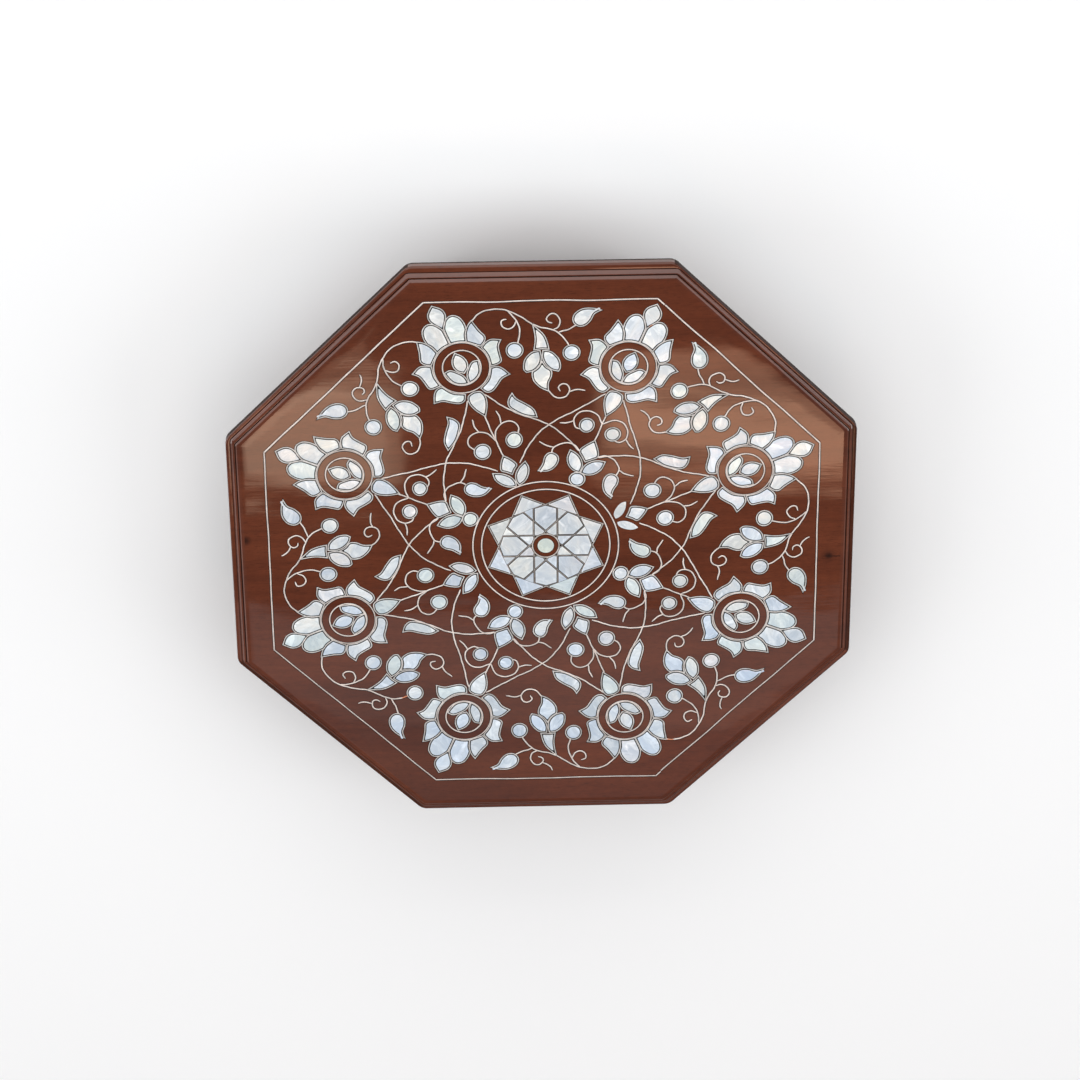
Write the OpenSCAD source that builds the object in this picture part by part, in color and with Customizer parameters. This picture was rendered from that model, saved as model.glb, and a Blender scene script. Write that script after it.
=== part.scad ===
// Eight-sided wooden box with a flower inlay of shell and wire in its lid.
// Millimetres. +Z is up, the origin is on the floor under the middle of the
// box, the hinges are at the back (+Y) and the front faces -Y.

/* [Lid] */
// Width of the lid across its flats, at the widest part of the moulding
lid_w = 300; // [280:1:330]
// Thickness of the moulded lid board
board_t = 9; // [8:0.5:12]
// Height of the bed moulding under the lid board
frame_h = 10; // [8:0.5:14]
// Thickness of the inlaid ground on top of the core
ground_t = 1.6; // [1.4:0.1:2.4]

/* [Body] */
// Height of the body, from the floor to the rim
body_h = 43; // [36:1:80]
// Thickness of the side walls
wall_t = 8; // [7:0.5:10]
// Height of the set-back plinth
plinth_h = 10; // [8:0.5:14]
// Thickness of the bottom board
floor_t = 6; // [4:0.5:8]
// Thickness of the felt on the bottom and the walls
felt_t = 1; // [0.8:0.1:1.5]

/* [Inlay] */
// Width of the wires of the stems and rings
wire_w = 0.9; // [0.7:0.1:1.2]
// Depth of the wires in the ground
wire_d = 0.8; // [0.6:0.1:1.2]
// Width of the wire round each piece of shell
edge_w = 0.7; // [0.6:0.05:0.8]
// Glue gap between each piece of shell and its wire
kerf = 0.2; // [0.15:0.01:0.25]
// Curve steps between two control points
steps = 1; // [1:1:2]

/* [Hinges] */
// Width of each hinge
hinge_w = 30; // [24:1:34]
// Distance of each hinge from the middle of the back
hinge_x = 26; // [22:1:30]
// Radius of the hinge pins
pin_r = 1.2; // [1:0.1:1.4]
// Radial clearance of the pin in the lid's knuckle
pin_c = 0.05; // [0.03:0.01:0.08]

/* [Hidden] */

T8 = tan(22.5);
a_out = lid_w / 2;             // outermost, widest part of the moulding
a_top = a_out - 5;             // where the top face begins to fall off
a_board = a_out - 12;          // core and ground end here
a_wall = a_out - 25;           // outer face of the walls
a_in = a_wall - wall_t;        // inner face of the walls
a_plinth = a_out - 30.5;
z_rim = body_h;
z_board = z_rim + frame_h;
z_top = z_board + board_t;
z_ground = z_top - ground_t;
z_floor = plinth_h + floor_t;
S = lid_w / 300;               // the inlay grows with the lid
BIG = 3 * lid_w;

brown = "#6b2f1c"; dark = "#4a2117"; pale = "#8a4a2c";
shell = "#dfe3e0"; tin = "#b9aca2"; brassc = "#b08d4a"; felt = "#5c1420"; steel = "#9a9a9c";

// ---------------------------------------------------------------- shapes
module octagon(ap)
    polygon([for (i = [0:7]) ap / cos(22.5) * [cos(22.5 + 45 * i), sin(22.5 + 45 * i)]]);

// one mitred length with profile p = [[apothem, z], ...] on the side facing +X
module mitred(p)
    intersection() {
        rotate([90, 0, 0]) linear_extrude(height = BIG / 3, center = true) polygon(p);
        translate([0, 0, -1]) linear_extrude(height = z_top + 20)
            polygon([[0, 0], [BIG, BIG * T8], [BIG, -BIG * T8]]);
    }

// Catmull-Rom curve through the control points P
function cr(p0, p1, p2, p3, t) = 0.5 * (2 * p1 + (p2 - p0) * t
    + (2 * p0 - 5 * p1 + 4 * p2 - p3) * t * t + (3 * p1 - p0 - 3 * p2 + p3) * t * t * t);
function curve(P, n) = let (m = len(P) - 1)
    [for (i = [0:m - 1], k = [0:n - 1])
        cr(i > 0 ? P[i - 1] : 2 * P[0] - P[1], P[i], P[i + 1],
           i + 2 <= m ? P[i + 2] : 2 * P[m] - P[m - 1], k / n)];
// closed outline made of arcs that meet at corners
function outline(A, n = steps) = [for (a = A) each curve(a, n)];
function line(P, n = steps) = concat(curve(P, n), [P[len(P) - 1]]);
function flip(P) = [for (i = [len(P) - 1:-1:0]) [-P[i][0], P[i][1]]];
function unit(v) = v / norm(v);
function area2(P) = let (n = len(P))
    [for (i = 0, s = 0; i <= n; s = s + (i < n ? P[i][0] * P[(i + 1) % n][1] - P[(i + 1) % n][0] * P[i][1] : 0), i = i + 1) s][n];
// moves every side of the outline inwards by d
function inset(P, d) = let (n = len(P), s = area2(P) > 0 ? 1 : -1)
    [for (i = [0:n - 1])
        let (u = unit(P[i] - P[(i + n - 1) % n]), v = unit(P[(i + 1) % n] - P[i]),
             nu = s * [-u[1], u[0]], nv = s * [-v[1], v[0]], b = unit(nu + nv))
        P[i] + b * d / max(0.5, b * nu)];
// a strip of width w along the points P
function strip(P, w) = let (m = len(P) - 1,
        N = [for (i = [0:m]) let (t = unit(P[min(i + 1, m)] - P[max(i - 1, 0)])) [-t[1], t[0]] * w / 2])
    concat([for (i = [0:m]) P[i] + N[i]], [for (i = [m:-1:0]) P[i] - N[i]]);

// ---------------------------------------------------------------- pattern
// Points of the flowers are [across, outwards] from the middle of the ring.
RF = 104.2; FR = 13.4; FI = 9.1;
f_tip = [[[0, 21.3], [1.2, 23.3], [3.0, 25.8], [4.1, 28.6], [3.4, 31.8], [0, 35.0]],
         [[0, 35.0], [-3.4, 31.8], [-4.1, 28.6], [-3.0, 25.8], [-1.2, 23.3], [0, 21.3]]];
f_round = [[[0.2, 13.6], [0.2, 20.2], [0.8, 22.7], [3.2, 26], [6.4, 26.9], [9.3, 24.8], [10.3, 21], [10, 17.6]],
           [[10, 17.6], [8.4, 15.2], [7.4, 11.7]], [[7.4, 11.7], [4, 13.1], [0.2, 13.6]]];
f_one = [[[13.9, 20.8], [11.2, 19.0], [8.9, 16], [7.4, 11.7]], [[7.4, 11.7], [10.4, 9.0], [12.6, 6.9]],
         [[12.6, 6.9], [15.2, 8.4], [16.5, 10.8], [15.2, 14.8], [13.9, 20.8]]];
f_two = [[[12.8, 6.2], [15.6, 7.8], [18.6, 8.2], [22.6, 6.2]],
         [[22.6, 6.2], [20.2, 3.6], [19.2, -0.6], [18.6, -3.8], [16.6, -4.8], [13.0, -4.6]],
         [[13.0, -4.6], [13.8, 0.8], [12.8, 6.2]]];
f_three = [[[12.6, -5.4], [15.4, -5.8], [17.6, -8], [19.4, -12.0]],
           [[19.4, -12.0], [15.2, -12.6], [12, -14.8], [8.6, -16.8], [5.6, -16.4], [4.0, -13.4]],
           [[4.0, -13.4], [9.2, -10.5], [12.6, -5.4]]];
f_drop = [[[0, -14.0], [3.2, -15.0], [4.2, -18.6], [2.9, -23.2], [0, -28.0]],
          [[0, -28.0], [-2.9, -23.2], [-4.2, -18.6], [-3.2, -15.0], [0, -14.0]]];
f_up = [[[0, -3.0], [2.6, -0.9], [3.5, 2.2], [2.6, 5.4], [0, 8.3]],
        [[0, 8.3], [-2.6, 5.4], [-3.5, 2.2], [-2.6, -0.9], [0, -3.0]]];
f_side = [[[0.15, -8.7], [3.6, -8.0], [7.0, -5.2], [8.7, 0.6]],
          [[8.7, 0.6], [5.6, 0.9], [2.8, -1.6], [0.7, -4.6], [0.15, -8.7]]];
// Round the middle ring, in the frames of the two kinds of flower: [across, out from the lid's middle]
a_top_petal = [[[0, 53.8], [2.5, 50.7], [4.1, 46.9], [2.0, 44.9], [0, 42.7]],
               [[0, 42.7], [-2.0, 44.9], [-4.1, 46.9], [-2.5, 50.7], [0, 53.8]]];
a_low_petal = [[[8.4, 46.9], [8.7, 43.4], [7.3, 40.2], [4.6, 37.4], [0.8, 36.0]],
               [[0.8, 36.0], [0.3, 38.6], [1.4, 42.0], [4.4, 45.0], [8.4, 46.9]]];
a_leaf = [[[17.2, 82.8], [18.0, 79.4], [21.2, 75.2], [23.6, 71.0], [23.4, 66.6]],
          [[23.4, 66.6], [18.4, 69.6], [14.8, 73.7], [13.0, 77.2], [14.2, 80.4], [17.2, 82.8]]];
a_stem = [[0, 77.5], [0, 65], [0, 52.8]];
a_curls = [[[0, 62.4], [1.8, 66.9], [5.2, 69.7], [9.2, 70.0], [12.3, 67.8], [12.9, 64.6], [11.2, 61.8]],
           [[5.7, 69.8], [6.7, 73.6], [6.2, 77.2]],
           [[4.4, 87.2], [9.2, 79.8], [14.2, 73.4], [20.4, 67.4], [25.2, 63.0], [28.3, 59.0], [31.4, 53.6], [33.6, 48.0], [35.2, 42.4]]];
b_top_petal = [[[0, 62.8], [3.4, 58.4], [4.7, 55.1], [2.6, 52.8], [0, 50.4]],
               [[0, 50.4], [-2.6, 52.8], [-4.7, 55.1], [-3.4, 58.4], [0, 62.8]]];
b_low_petal = [[[9.0, 53.9], [8.8, 49.4], [6.6, 45.9], [3.4, 44.2], [0.2, 44.2]],
               [[0.2, 44.2], [0.5, 48.4], [2.8, 51.6], [5.8, 53.3], [9.0, 53.9]]];
b_leaf = [[[19.4, 36.8], [18.7, 41.2], [19.2, 45.0], [18.2, 48.0], [15.6, 49.2], [13.0, 48.2], [12.0, 45.4], [12.8, 41.6], [15.4, 38.4], [19.4, 36.8]]];
b_stem = [[0, 77.5], [0, 70], [0, 61.8]];
b_curls = [[[0.2, 72.0], [3.2, 75.0], [6.7, 76.2], [10.5, 75.4], [13.2, 72.4], [13.5, 68.8], [11.5, 66.0], [9.0, 65.8]],
           [[13.3, 68.8], [16.2, 66.4], [19.2, 65.1]],
           [[4.6, 87.2], [8.4, 82.2], [13.8, 75.0], [19.5, 68.2], [23.6, 62.4], [26.3, 57.0], [28.0, 51.6], [28.9, 45.9], [29.2, 41.0], [29.3, 37.4]],
           [[4.6, 54.9], [8.1, 57.0], [12.2, 56.6], [15.4, 54.2], [17.0, 51.8], [16.7, 48.6]],
           [[16.7, 52.2], [20.2, 51.3], [24.8, 51.9]]];
// A sprig along one side, from the flower at its left: [across, out] of the lid
s_cup = [[[-5.5, 119.3], [-3.3, 117.1], [-0.3, 113.9], [1.3, 110.1], [2.1, 106.3]],
         [[2.1, 106.3], [-1.3, 106.6], [-4.9, 106.1]], [[-4.9, 106.1], [-4.3, 110.5], [-4.5, 114.5], [-5.5, 119.3]]];
s_left = [[[-2.1, 105.7], [-6.1, 104.7], [-9.3, 100.9], [-9.9, 96.1], [-8.5, 94.3]],
          [[-8.5, 94.3], [-5.1, 95.3], [-2.3, 98.3], [-1.5, 102.1], [-2.1, 105.7]]];
s_right = [[[-0.7, 105.7], [3.3, 104.9], [6.7, 101.1], [7.5, 96.9], [6.5, 94.7]],
           [[6.5, 94.7], [3.3, 95.7], [0.5, 98.5], [-0.9, 102.1], [-0.7, 105.7]]];
s_tail = [[[-1.2, 99.9], [0.6, 97.1], [3.1, 95.1], [3.1, 91.9], [1.7, 88.5], [1.7, 84.3]],
          [[1.7, 84.3], [-2.1, 86.3], [-5.1, 89.7], [-5.9, 93.1], [-5.6, 94.7]], [[-5.6, 94.7], [-3.0, 96.7], [-1.2, 99.9]]];
s_leaf = [[[26.9, 126.1], [23.1, 127.1], [18.1, 126.9], [14.3, 124.3], [13.5, 120.7], [15.7, 118.1], [19.1, 118.3], [21.9, 120.9], [23.7, 124.3], [26.9, 126.1]]];
s_lines = [[[-35.4, 120.0], [-31.6, 124.2], [-27.2, 126.4], [-22.2, 127.1], [-16.9, 126.1], [-11.7, 123.7], [-7.9, 120.9], [-5.5, 119.3]],
           [[-5.9, 119.6], [-1.9, 117.9], [2.7, 116.7], [6.7, 114.7], [9.7, 111.3], [11.6, 107.6]],
           [[6.5, 114.9], [8.9, 115.8], [11.9, 116.7], [15.3, 118.8]],
           [[4.1, 116.4], [6.5, 117.9], [7.5, 120.9], [5.9, 124.1], [3.1, 124.5], [1.1, 122.3], [1.9, 120.3], [3.7, 119.9]],
           [[-17.3, 126.1], [-14.3, 122.9], [-12.3, 119.1], [-11.5, 114.7], [-12.6, 109.2]],
           [[-13.3, 120.9], [-14.7, 118.1], [-17.5, 116.7], [-20.1, 118.3], [-20.3, 120.9], [-17.9, 121.9]],
           [[1.4, 85.0], [3.9, 81.9], [7.1, 80.5], [10.3, 81.5], [11.7, 84.3], [10.7, 87.3], [8.1, 87.9], [6.3, 86.3], [7.3, 84.1]],
           [[11.5, 83.7], [14.7, 84.9], [19.3, 84.3]],
           [[1.7, 123.4], [-0.8, 124.6], [-2.6, 126.2], [-3.4, 128.0]]];
// Discs: [across, out, radius]
a_discs = [[8.2, 59.6, 4.0], [-8.2, 59.6, 4.0]];
b_discs = [[6.7, 68.8, 3.6], [-6.7, 68.8, 3.6], [0, 40.4, 3.7]];
s_discs = [[-14.1, 105.9, 4.0], [12.7, 104.3, 4.0]];
// The middle
ring_o = 35.1; ring_i = 30.9; hub_o = 6.8; hub_i = 4.1; lattice = 5.65; point_r = 30.0; notch_r = 22.6;

// How far each group is set off from its true place, as hand work is:
// [angle, distance, shift x, shift y], the two kinds of flower first
hand_flowers = [[112.5, RF, 2.5, 1.5], [67.5, RF, 1, 0.5], [22.5, RF, 0.5, 0.5], [-22.5, RF, -0.5, -0.5],
                [-67.5, RF, -0.5, -0.5], [-112.5, RF, 0, 1], [-157.5, RF, 1, 1.5], [157.5, RF, 2, 2]];
hand_buds = [[112.5, 45, 2, 1], [67.5, 50, 1, 0], [22.5, 45, 0.5, 0], [-22.5, 50, 0, 0.5],
             [-67.5, 45, 0, 0.5], [-112.5, 50, 1.5, 2], [-157.5, 45, 1, 1], [157.5, 50, 2.5, 1]];
hand_sprigs = [[90, 100, 1.5, 0.5], [135, 100, 3, 2.5], [180, 100, 2, 1.5], [225, 100, 1, 2],
               [270, 100, 0, 0.5], [315, 100, -1, -0.5], [0, 100, 0.5, 0], [45, 100, 0, 1]];
hand_middle = [0, 0, 1.2, 1.2];
hands = concat(hand_flowers, hand_buds, hand_sprigs, [hand_middle]);
anchors = [for (h = hands) [h[1] * cos(h[0]), h[1] * sin(h[0]), h[2], h[3]]];
function drift(p) = let (w = [for (a = anchors) 1 / pow(norm(p - [a[0], a[1]]) + 2, 4)],
        W = w * [for (a = anchors) 1])
    p + [w * [for (a = anchors) a[2]], w * [for (a = anchors) a[3]]] / W;
function drifted(P) = [for (p = P) drift(p)];
middle = [hand_middle[2], hand_middle[3]];
// keeps a piece off the middle ring
function clear_ring(P, r) = [for (p = P) let (d = p - middle) norm(d) < r ? middle + unit(d) * r : p];

// frames: a point [across, out] on the axis at angle th
function at(th, p) = [p[0] * sin(th) + p[1] * cos(th), -p[0] * cos(th) + p[1] * sin(th)];
function all_at(th, P) = [for (p = P) at(th, p)];
// side k: 0..3 turned, 4..7 mirrored about the first flower's axis and turned
function side(k, p) = let (q = k < 4 ? p : [-sqrt(0.5) * (p[0] + p[1]), sqrt(0.5) * (p[1] - p[0])], t = 90 * (k % 4))
    [q[0] * cos(t) - q[1] * sin(t), q[0] * sin(t) + q[1] * cos(t)];
function all_side(k, P) = [for (p = P) side(k, p)];

A_at = [112.5, 22.5, -67.5, -157.5];
B_at = [67.5, -22.5, -112.5, 157.5];
function flower_mid(i) = let (h = hand_flowers[i]) [h[1] * cos(h[0]) + h[2], h[1] * sin(h[0]) + h[3]];
function on_flower(i, P) = let (h = hand_flowers[i]) [for (p = P) at(h[0], p) + flower_mid(i)];

petal_set = [f_tip, f_round, f_one, f_two, f_three, f_drop];
// the flower at -67.5 degrees has lost its tip petal
petals = [for (i = [0:7]) each concat(
    [for (j = [0, 5]) if (!(i == 4 && j == 0)) on_flower(i, outline(petal_set[j]))],
    [for (j = [1:4]) each [on_flower(i, outline(petal_set[j])), on_flower(i, flip(outline(petal_set[j])))]])];
flower_buds = [for (i = [0:7]) each [on_flower(i, outline(f_up)), on_flower(i, outline(f_side)), on_flower(i, flip(outline(f_side)))]];
ring_buds = concat(
    [for (t = A_at) each [for (P = [outline(a_top_petal), outline(a_low_petal), flip(outline(a_low_petal))])
        clear_ring(drifted(all_at(t, P)), ring_o + wire_w / 2 + edge_w / 2 + 0.05)]],
    [for (t = B_at) each [for (P = [outline(b_top_petal), outline(b_low_petal), flip(outline(b_low_petal))]) drifted(all_at(t, P))]]);
leaves = concat(
    [for (t = A_at) each [for (P = [outline(a_leaf), flip(outline(a_leaf))]) drifted(all_at(t, P))]],
    [for (t = B_at) each [for (P = [outline(b_leaf), flip(outline(b_leaf))]) drifted(all_at(t, P))]],
    [for (k = [0:7]) drifted(all_side(k, outline(s_leaf)))]);
tulips = [for (k = [0:7]) each [for (P = [s_cup, s_left, s_right, s_tail]) drifted(all_side(k, outline(P)))]];
discs = concat(
    [for (t = A_at, d = a_discs) concat(drift(at(t, [d[0], d[1]])), d[2])],
    [for (t = B_at, d = b_discs) concat(drift(at(t, [d[0], d[1]])), d[2])],
    [for (k = [0:7], d = s_discs) concat(drift(side(k, [d[0], d[1]])), d[2])]);
stems = concat(
    [for (t = A_at) each concat([drifted(all_at(t, line(a_stem)))],
        [for (c = a_curls) each [drifted(all_at(t, line(c))), drifted(all_at(t, flip(line(c))))]])],
    [for (t = B_at) each concat([drifted(all_at(t, line(b_stem)))],
        [for (c = b_curls) each [drifted(all_at(t, line(c))), drifted(all_at(t, flip(line(c))))]])],
    [for (k = [0:7], c = [0:8]) if (!(k == 0 && c == 8)) drifted(all_side(k, line(s_lines[c])))]);

// the star in the middle: k * 45 degrees, y along the axis of a kite
apex = lattice * sqrt(2); shoulder = lattice * (1 + sqrt(2)); cheek = 20.8;
tip = point_r * [sin(22.5), cos(22.5)]; notch2 = notch_r * [sin(45), cos(45)];
kite = [[0, apex], [lattice, shoulder], [lattice, cheek], [0, notch_r], [-lattice, cheek], [-lattice, shoulder]];
// the other side of the neighbouring kite, turned 45 degrees clockwise
function turn(p, t) = [p[0] * cos(t) - p[1] * sin(t), p[0] * sin(t) + p[1] * cos(t)];
near2 = turn([-lattice, cheek], -45); low2 = turn([-lattice, shoulder], -45);
point = [[lattice, cheek], [0, notch_r], tip, notch2, near2];
seam_tri = [[lattice, shoulder], [lattice, cheek], near2];
hub_r = hub_o - 0.3;
wedge = [turn([0, apex], 0), [lattice, shoulder], turn([0, apex], -45),
    hub_r * [sin(34), cos(34)], hub_r * [sin(22.5), cos(22.5)], hub_r * [sin(11), cos(11)]];

// ---------------------------------------------------------------- inlay
// the pattern is laid out as it is seen from the back of the box
module laid(z) translate([0, 0, z]) rotate([0, 0, 180]) scale([S, S, 1]) children();
// each outline is the middle of the wire round a piece
module pieces(L) for (P = L) polygon(inset(P, edge_w / 2 + kerf));
module pockets(L) for (P = L) polygon(inset(P, -edge_w / 2));
module cores(L) for (P = L) polygon(inset(P, edge_w / 2));
module spun() for (i = [0:7]) translate(middle) rotate(45 * i) children();
module ring(c, r) translate(c) difference() {
    circle(r = r + wire_w / 2, $fn = 72);
    circle(r = r - wire_w / 2, $fn = 72);
}
module disc_holes(g = edge_w / 2) for (d = discs) translate([d[0], d[1]]) circle(r = d[2] + g, $fn = 48);
star_edge = [for (i = [0:7]) each [turn([0, notch_r], 45 * i), turn([-tip[0], tip[1]], 45 * i)]];
hub_ring = hub_o - 0.4;
module star_hole() translate(middle) difference() {
    intersection() {
        polygon(inset(star_edge, -edge_w / 2));
        circle(r = ring_i - wire_w / 2, $fn = 72);
    }
    circle(r = hub_ring - wire_w / 2, $fn = 72);
}
module flower_holes() { pockets(petals); pockets(flower_buds); }
module small_holes() { pockets(ring_buds); pockets(leaves); pockets(tulips); disc_holes(); }
module hub_hole() translate(middle) circle(r = hub_i + 0.05, $fn = 48);
module inlay(h, z) laid(z) linear_extrude(height = h) children();

module wire_border() color(tin) inlay(wire_d, z_top - wire_d)
    difference() { octagon(132.4); octagon(131.6); }
module rings2d() {
    flower_rings();
    for (r = [ring_o, ring_i]) ring(middle, r);
}
module wire_rings() color(tin) inlay(wire_d, z_top - wire_d) rings2d();
module stems2d() intersection() {
    octagon(131.6);
    difference() {
        for (P = stems) polygon(strip(P, wire_w));
        pockets(petals);
        small_holes();
        for (i = [0:7]) translate(flower_mid(i)) circle(r = FR + 0.3, $fn = 72);
    }
}
module wire_stems() color(tin) inlay(wire_d, z_top - wire_d) stems2d();

module lid_ground() color(brown) difference() {
    inlay(ground_t, z_ground) difference() {
        octagon(a_board / S);
        flower_holes();
        small_holes();
        star_hole();
        hub_hole();
    }
    inlay(wire_d + 1, z_top - wire_d) stems2d();
    inlay(wire_d + 1, z_top - wire_d) rings2d();
    inlay(wire_d + 1, z_top - wire_d) difference() { octagon(132.4); octagon(131.6); }
}
module flower_rings() for (i = [0:7]) { ring(flower_mid(i), FR - 0.2); ring(flower_mid(i), FI); }
module wire_flower_outlines() color(tin) inlay(ground_t, z_ground) difference() {
    flower_holes();
    cores(petals);
    cores(flower_buds);
    flower_rings();
}
module wire_tulip_outlines() color(tin) inlay(ground_t, z_ground) difference() {
    pockets(tulips);
    cores(tulips);
}
module wire_bud_outlines() color(tin) inlay(ground_t, z_ground) difference() {
    pockets(ring_buds);
    cores(ring_buds);
    disc_holes();
    ring(middle, ring_o);
}
module wire_leaf_outlines() color(tin) inlay(ground_t, z_ground) difference() {
    pockets(leaves);
    cores(leaves);
    disc_holes();
}
module wire_berry_outlines() color(tin) inlay(ground_t, z_ground) difference() {
    disc_holes();
    disc_holes(-edge_w / 2);
    ring(middle, ring_o);
}
// the lattice of the star, in one with the ring round its hub
module wire_star() color(tin) inlay(ground_t, z_ground) difference() {
    star_hole();
    spun() for (P = [kite, point, seam_tri, wedge]) polygon(inset(P, edge_w / 2));
}
module pearl_flower_petals() color(shell) inlay(ground_t, z_ground) pieces(petals);
module pearl_flower_buds() color(shell) inlay(ground_t, z_ground) pieces(flower_buds);
module pearl_tulips() color(shell) inlay(ground_t, z_ground) pieces(tulips);
module pearl_ring_buds() color(shell) inlay(ground_t, z_ground) pieces(ring_buds);
module pearl_leaves() color(shell) inlay(ground_t, z_ground) pieces(leaves);
module pearl_berries() color(shell) inlay(ground_t, z_ground)
    for (d = discs) translate([d[0], d[1]]) circle(r = d[2] - edge_w / 2 - kerf, $fn = 48);
module pearl_star_kites() color(shell) inlay(ground_t, z_ground) spun() polygon(inset(kite, edge_w / 2 + kerf));
module pearl_star_points() color(shell) inlay(ground_t, z_ground) spun() {
    polygon(inset(point, edge_w / 2 + kerf));
    polygon(inset(seam_tri, edge_w / 2 + kerf));
}
module pearl_star_wedges() color(shell) inlay(ground_t, z_ground) spun() polygon(inset(wedge, edge_w / 2 + kerf));
module pearl_centre() color(shell) inlay(ground_t, z_ground) translate(middle) circle(r = hub_i - 0.15, $fn = 48);

// ---------------------------------------------------------------- lid
module lid_core() color(pale) translate([0, 0, z_board]) linear_extrude(height = board_t - ground_t) octagon(a_board);
// from below: an undercut, a square outer edge, a low step, a rounded band and a fine edge to the top face
k = board_t / 9;
function mz(d) = z_top - d * k;
moulding = [[a_board, z_board], [a_out - 2.8, z_board], [a_out - 2.4, mz(8.75)], [a_out - 2.3, mz(7.9)], [a_out - 2.15, mz(7.5)],
    [a_out - 1.7, mz(7.3)], [a_out - 1, mz(7.15)], [a_out - 0.5, mz(6.8)], [a_out - 0.15, mz(6.2)], [a_out, mz(5.4)],
    [a_out, mz(2.1)], [a_out - 0.07, mz(1.64)], [a_out - 0.3, mz(1.34)], [a_out - 0.8, mz(1.22)], [a_out - 2.35, mz(1.28)],
    [a_out - 2.5, mz(1.2)], [a_out - 2.6, mz(1.05)], [a_out - 2.9, mz(0.86)], [a_out - 3.3, mz(0.68)], [a_out - 3.7, mz(0.56)],
    [a_out - 3.9, mz(0.54)], [a_out - 4.05, mz(0.5)], [a_out - 4.15, mz(0.4)], [a_out - 4.3, mz(0.3)], [a_top + 0.1, mz(0.12)],
    [a_top - 0.6, mz(0.03)], [a_top - 1.6, z_top], [a_board, z_top]];
module lid_moulding() color(brown) for (i = [0:7]) rotate([0, 0, 45 * i]) mitred(moulding);
frame_p = [[a_in, z_rim], [a_wall + 14, z_rim], [a_wall + 14, z_rim + 0.2 * frame_h], [a_wall + 14.6, z_rim + 0.36 * frame_h],
    [a_wall + 16, z_rim + 0.55 * frame_h], [a_wall + 18.2, z_rim + 0.7 * frame_h], [a_wall + 20.4, z_rim + 0.76 * frame_h],
    [a_wall + 20.4, z_board], [a_in, z_board]];
module lid_frame() color(dark) for (i = [0:7]) if (i != 2) rotate([0, 0, 45 * i]) mitred(frame_p);
module lid_frame_back() color(dark) difference() {
    rotate([0, 0, 90]) mitred(frame_p);
    for (x = screw_xs) translate([x, pin_y + leaf_w - 4, z_rim - 1]) cylinder(r = 0.9, h = 8, $fn = 32);
}
module lid_felt() color(felt) translate([0, 0, z_board - felt_t]) linear_extrude(height = felt_t) octagon(a_in - 0.3);

// ---------------------------------------------------------------- body
module plinth() color(dark) for (i = [0:7]) rotate([0, 0, 45 * i])
    mitred([[a_plinth - 14, 0], [a_plinth - 0.6, 0], [a_plinth, 0.6], [a_plinth, plinth_h - 2.5],
        [a_plinth - 0.6, plinth_h - 1.2], [a_plinth - 1.6, plinth_h], [a_plinth - 14, plinth_h]]);
module glue_blocks() color(pale) for (i = [0:7]) rotate([0, 0, 22.5 + 45 * i]) translate([(a_plinth - 14) / cos(22.5), 0, 2])
    linear_extrude(height = plinth_h - 2) polygon([[0, 0], 12 * [-sin(22.5), cos(22.5)], 12 * [-sin(22.5), -cos(22.5)]]);
module bottom_board() color(pale) translate([0, 0, plinth_h]) linear_extrude(height = floor_t) octagon(a_in);
wall_p = [[a_in, plinth_h], [a_wall, plinth_h], [a_wall, z_rim], [a_in, z_rim]];
module walls() color(brown) for (i = [0:7]) if (i != 2) rotate([0, 0, 45 * i]) mitred(wall_p);
module wall_back() color(brown) difference() {
    rotate([0, 0, 90]) mitred(wall_p);
    for (x = screw_xs) translate([x, a_wall + 1, pin_z - leaf_w + 4]) rotate([90, 0, 0]) cylinder(r = 0.9, h = 7, $fn = 32);
}
module floor_felt() color(felt) translate([0, 0, z_floor]) linear_extrude(height = felt_t * 1.5) octagon(a_in - felt_t);
module wall_felt() color(felt) for (i = [0:7]) rotate([0, 0, 45 * i])
    mitred([[a_in - felt_t, z_floor], [a_in, z_floor], [a_in, z_rim - 4], [a_in - felt_t, z_rim - 4]]);

// ---------------------------------------------------------------- hinges
leaf_t = 1.2; barrel_r = 2.4; leaf_w = 11;
pin_y = a_wall + barrel_r + 0.2;
pin_z = z_rim - barrel_r - 0.2;
screw_xs = [for (s = [-1, 1], x = [-0.34, 0.34]) s * hinge_x + x * hinge_w];
third = hinge_w / 3;
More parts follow.
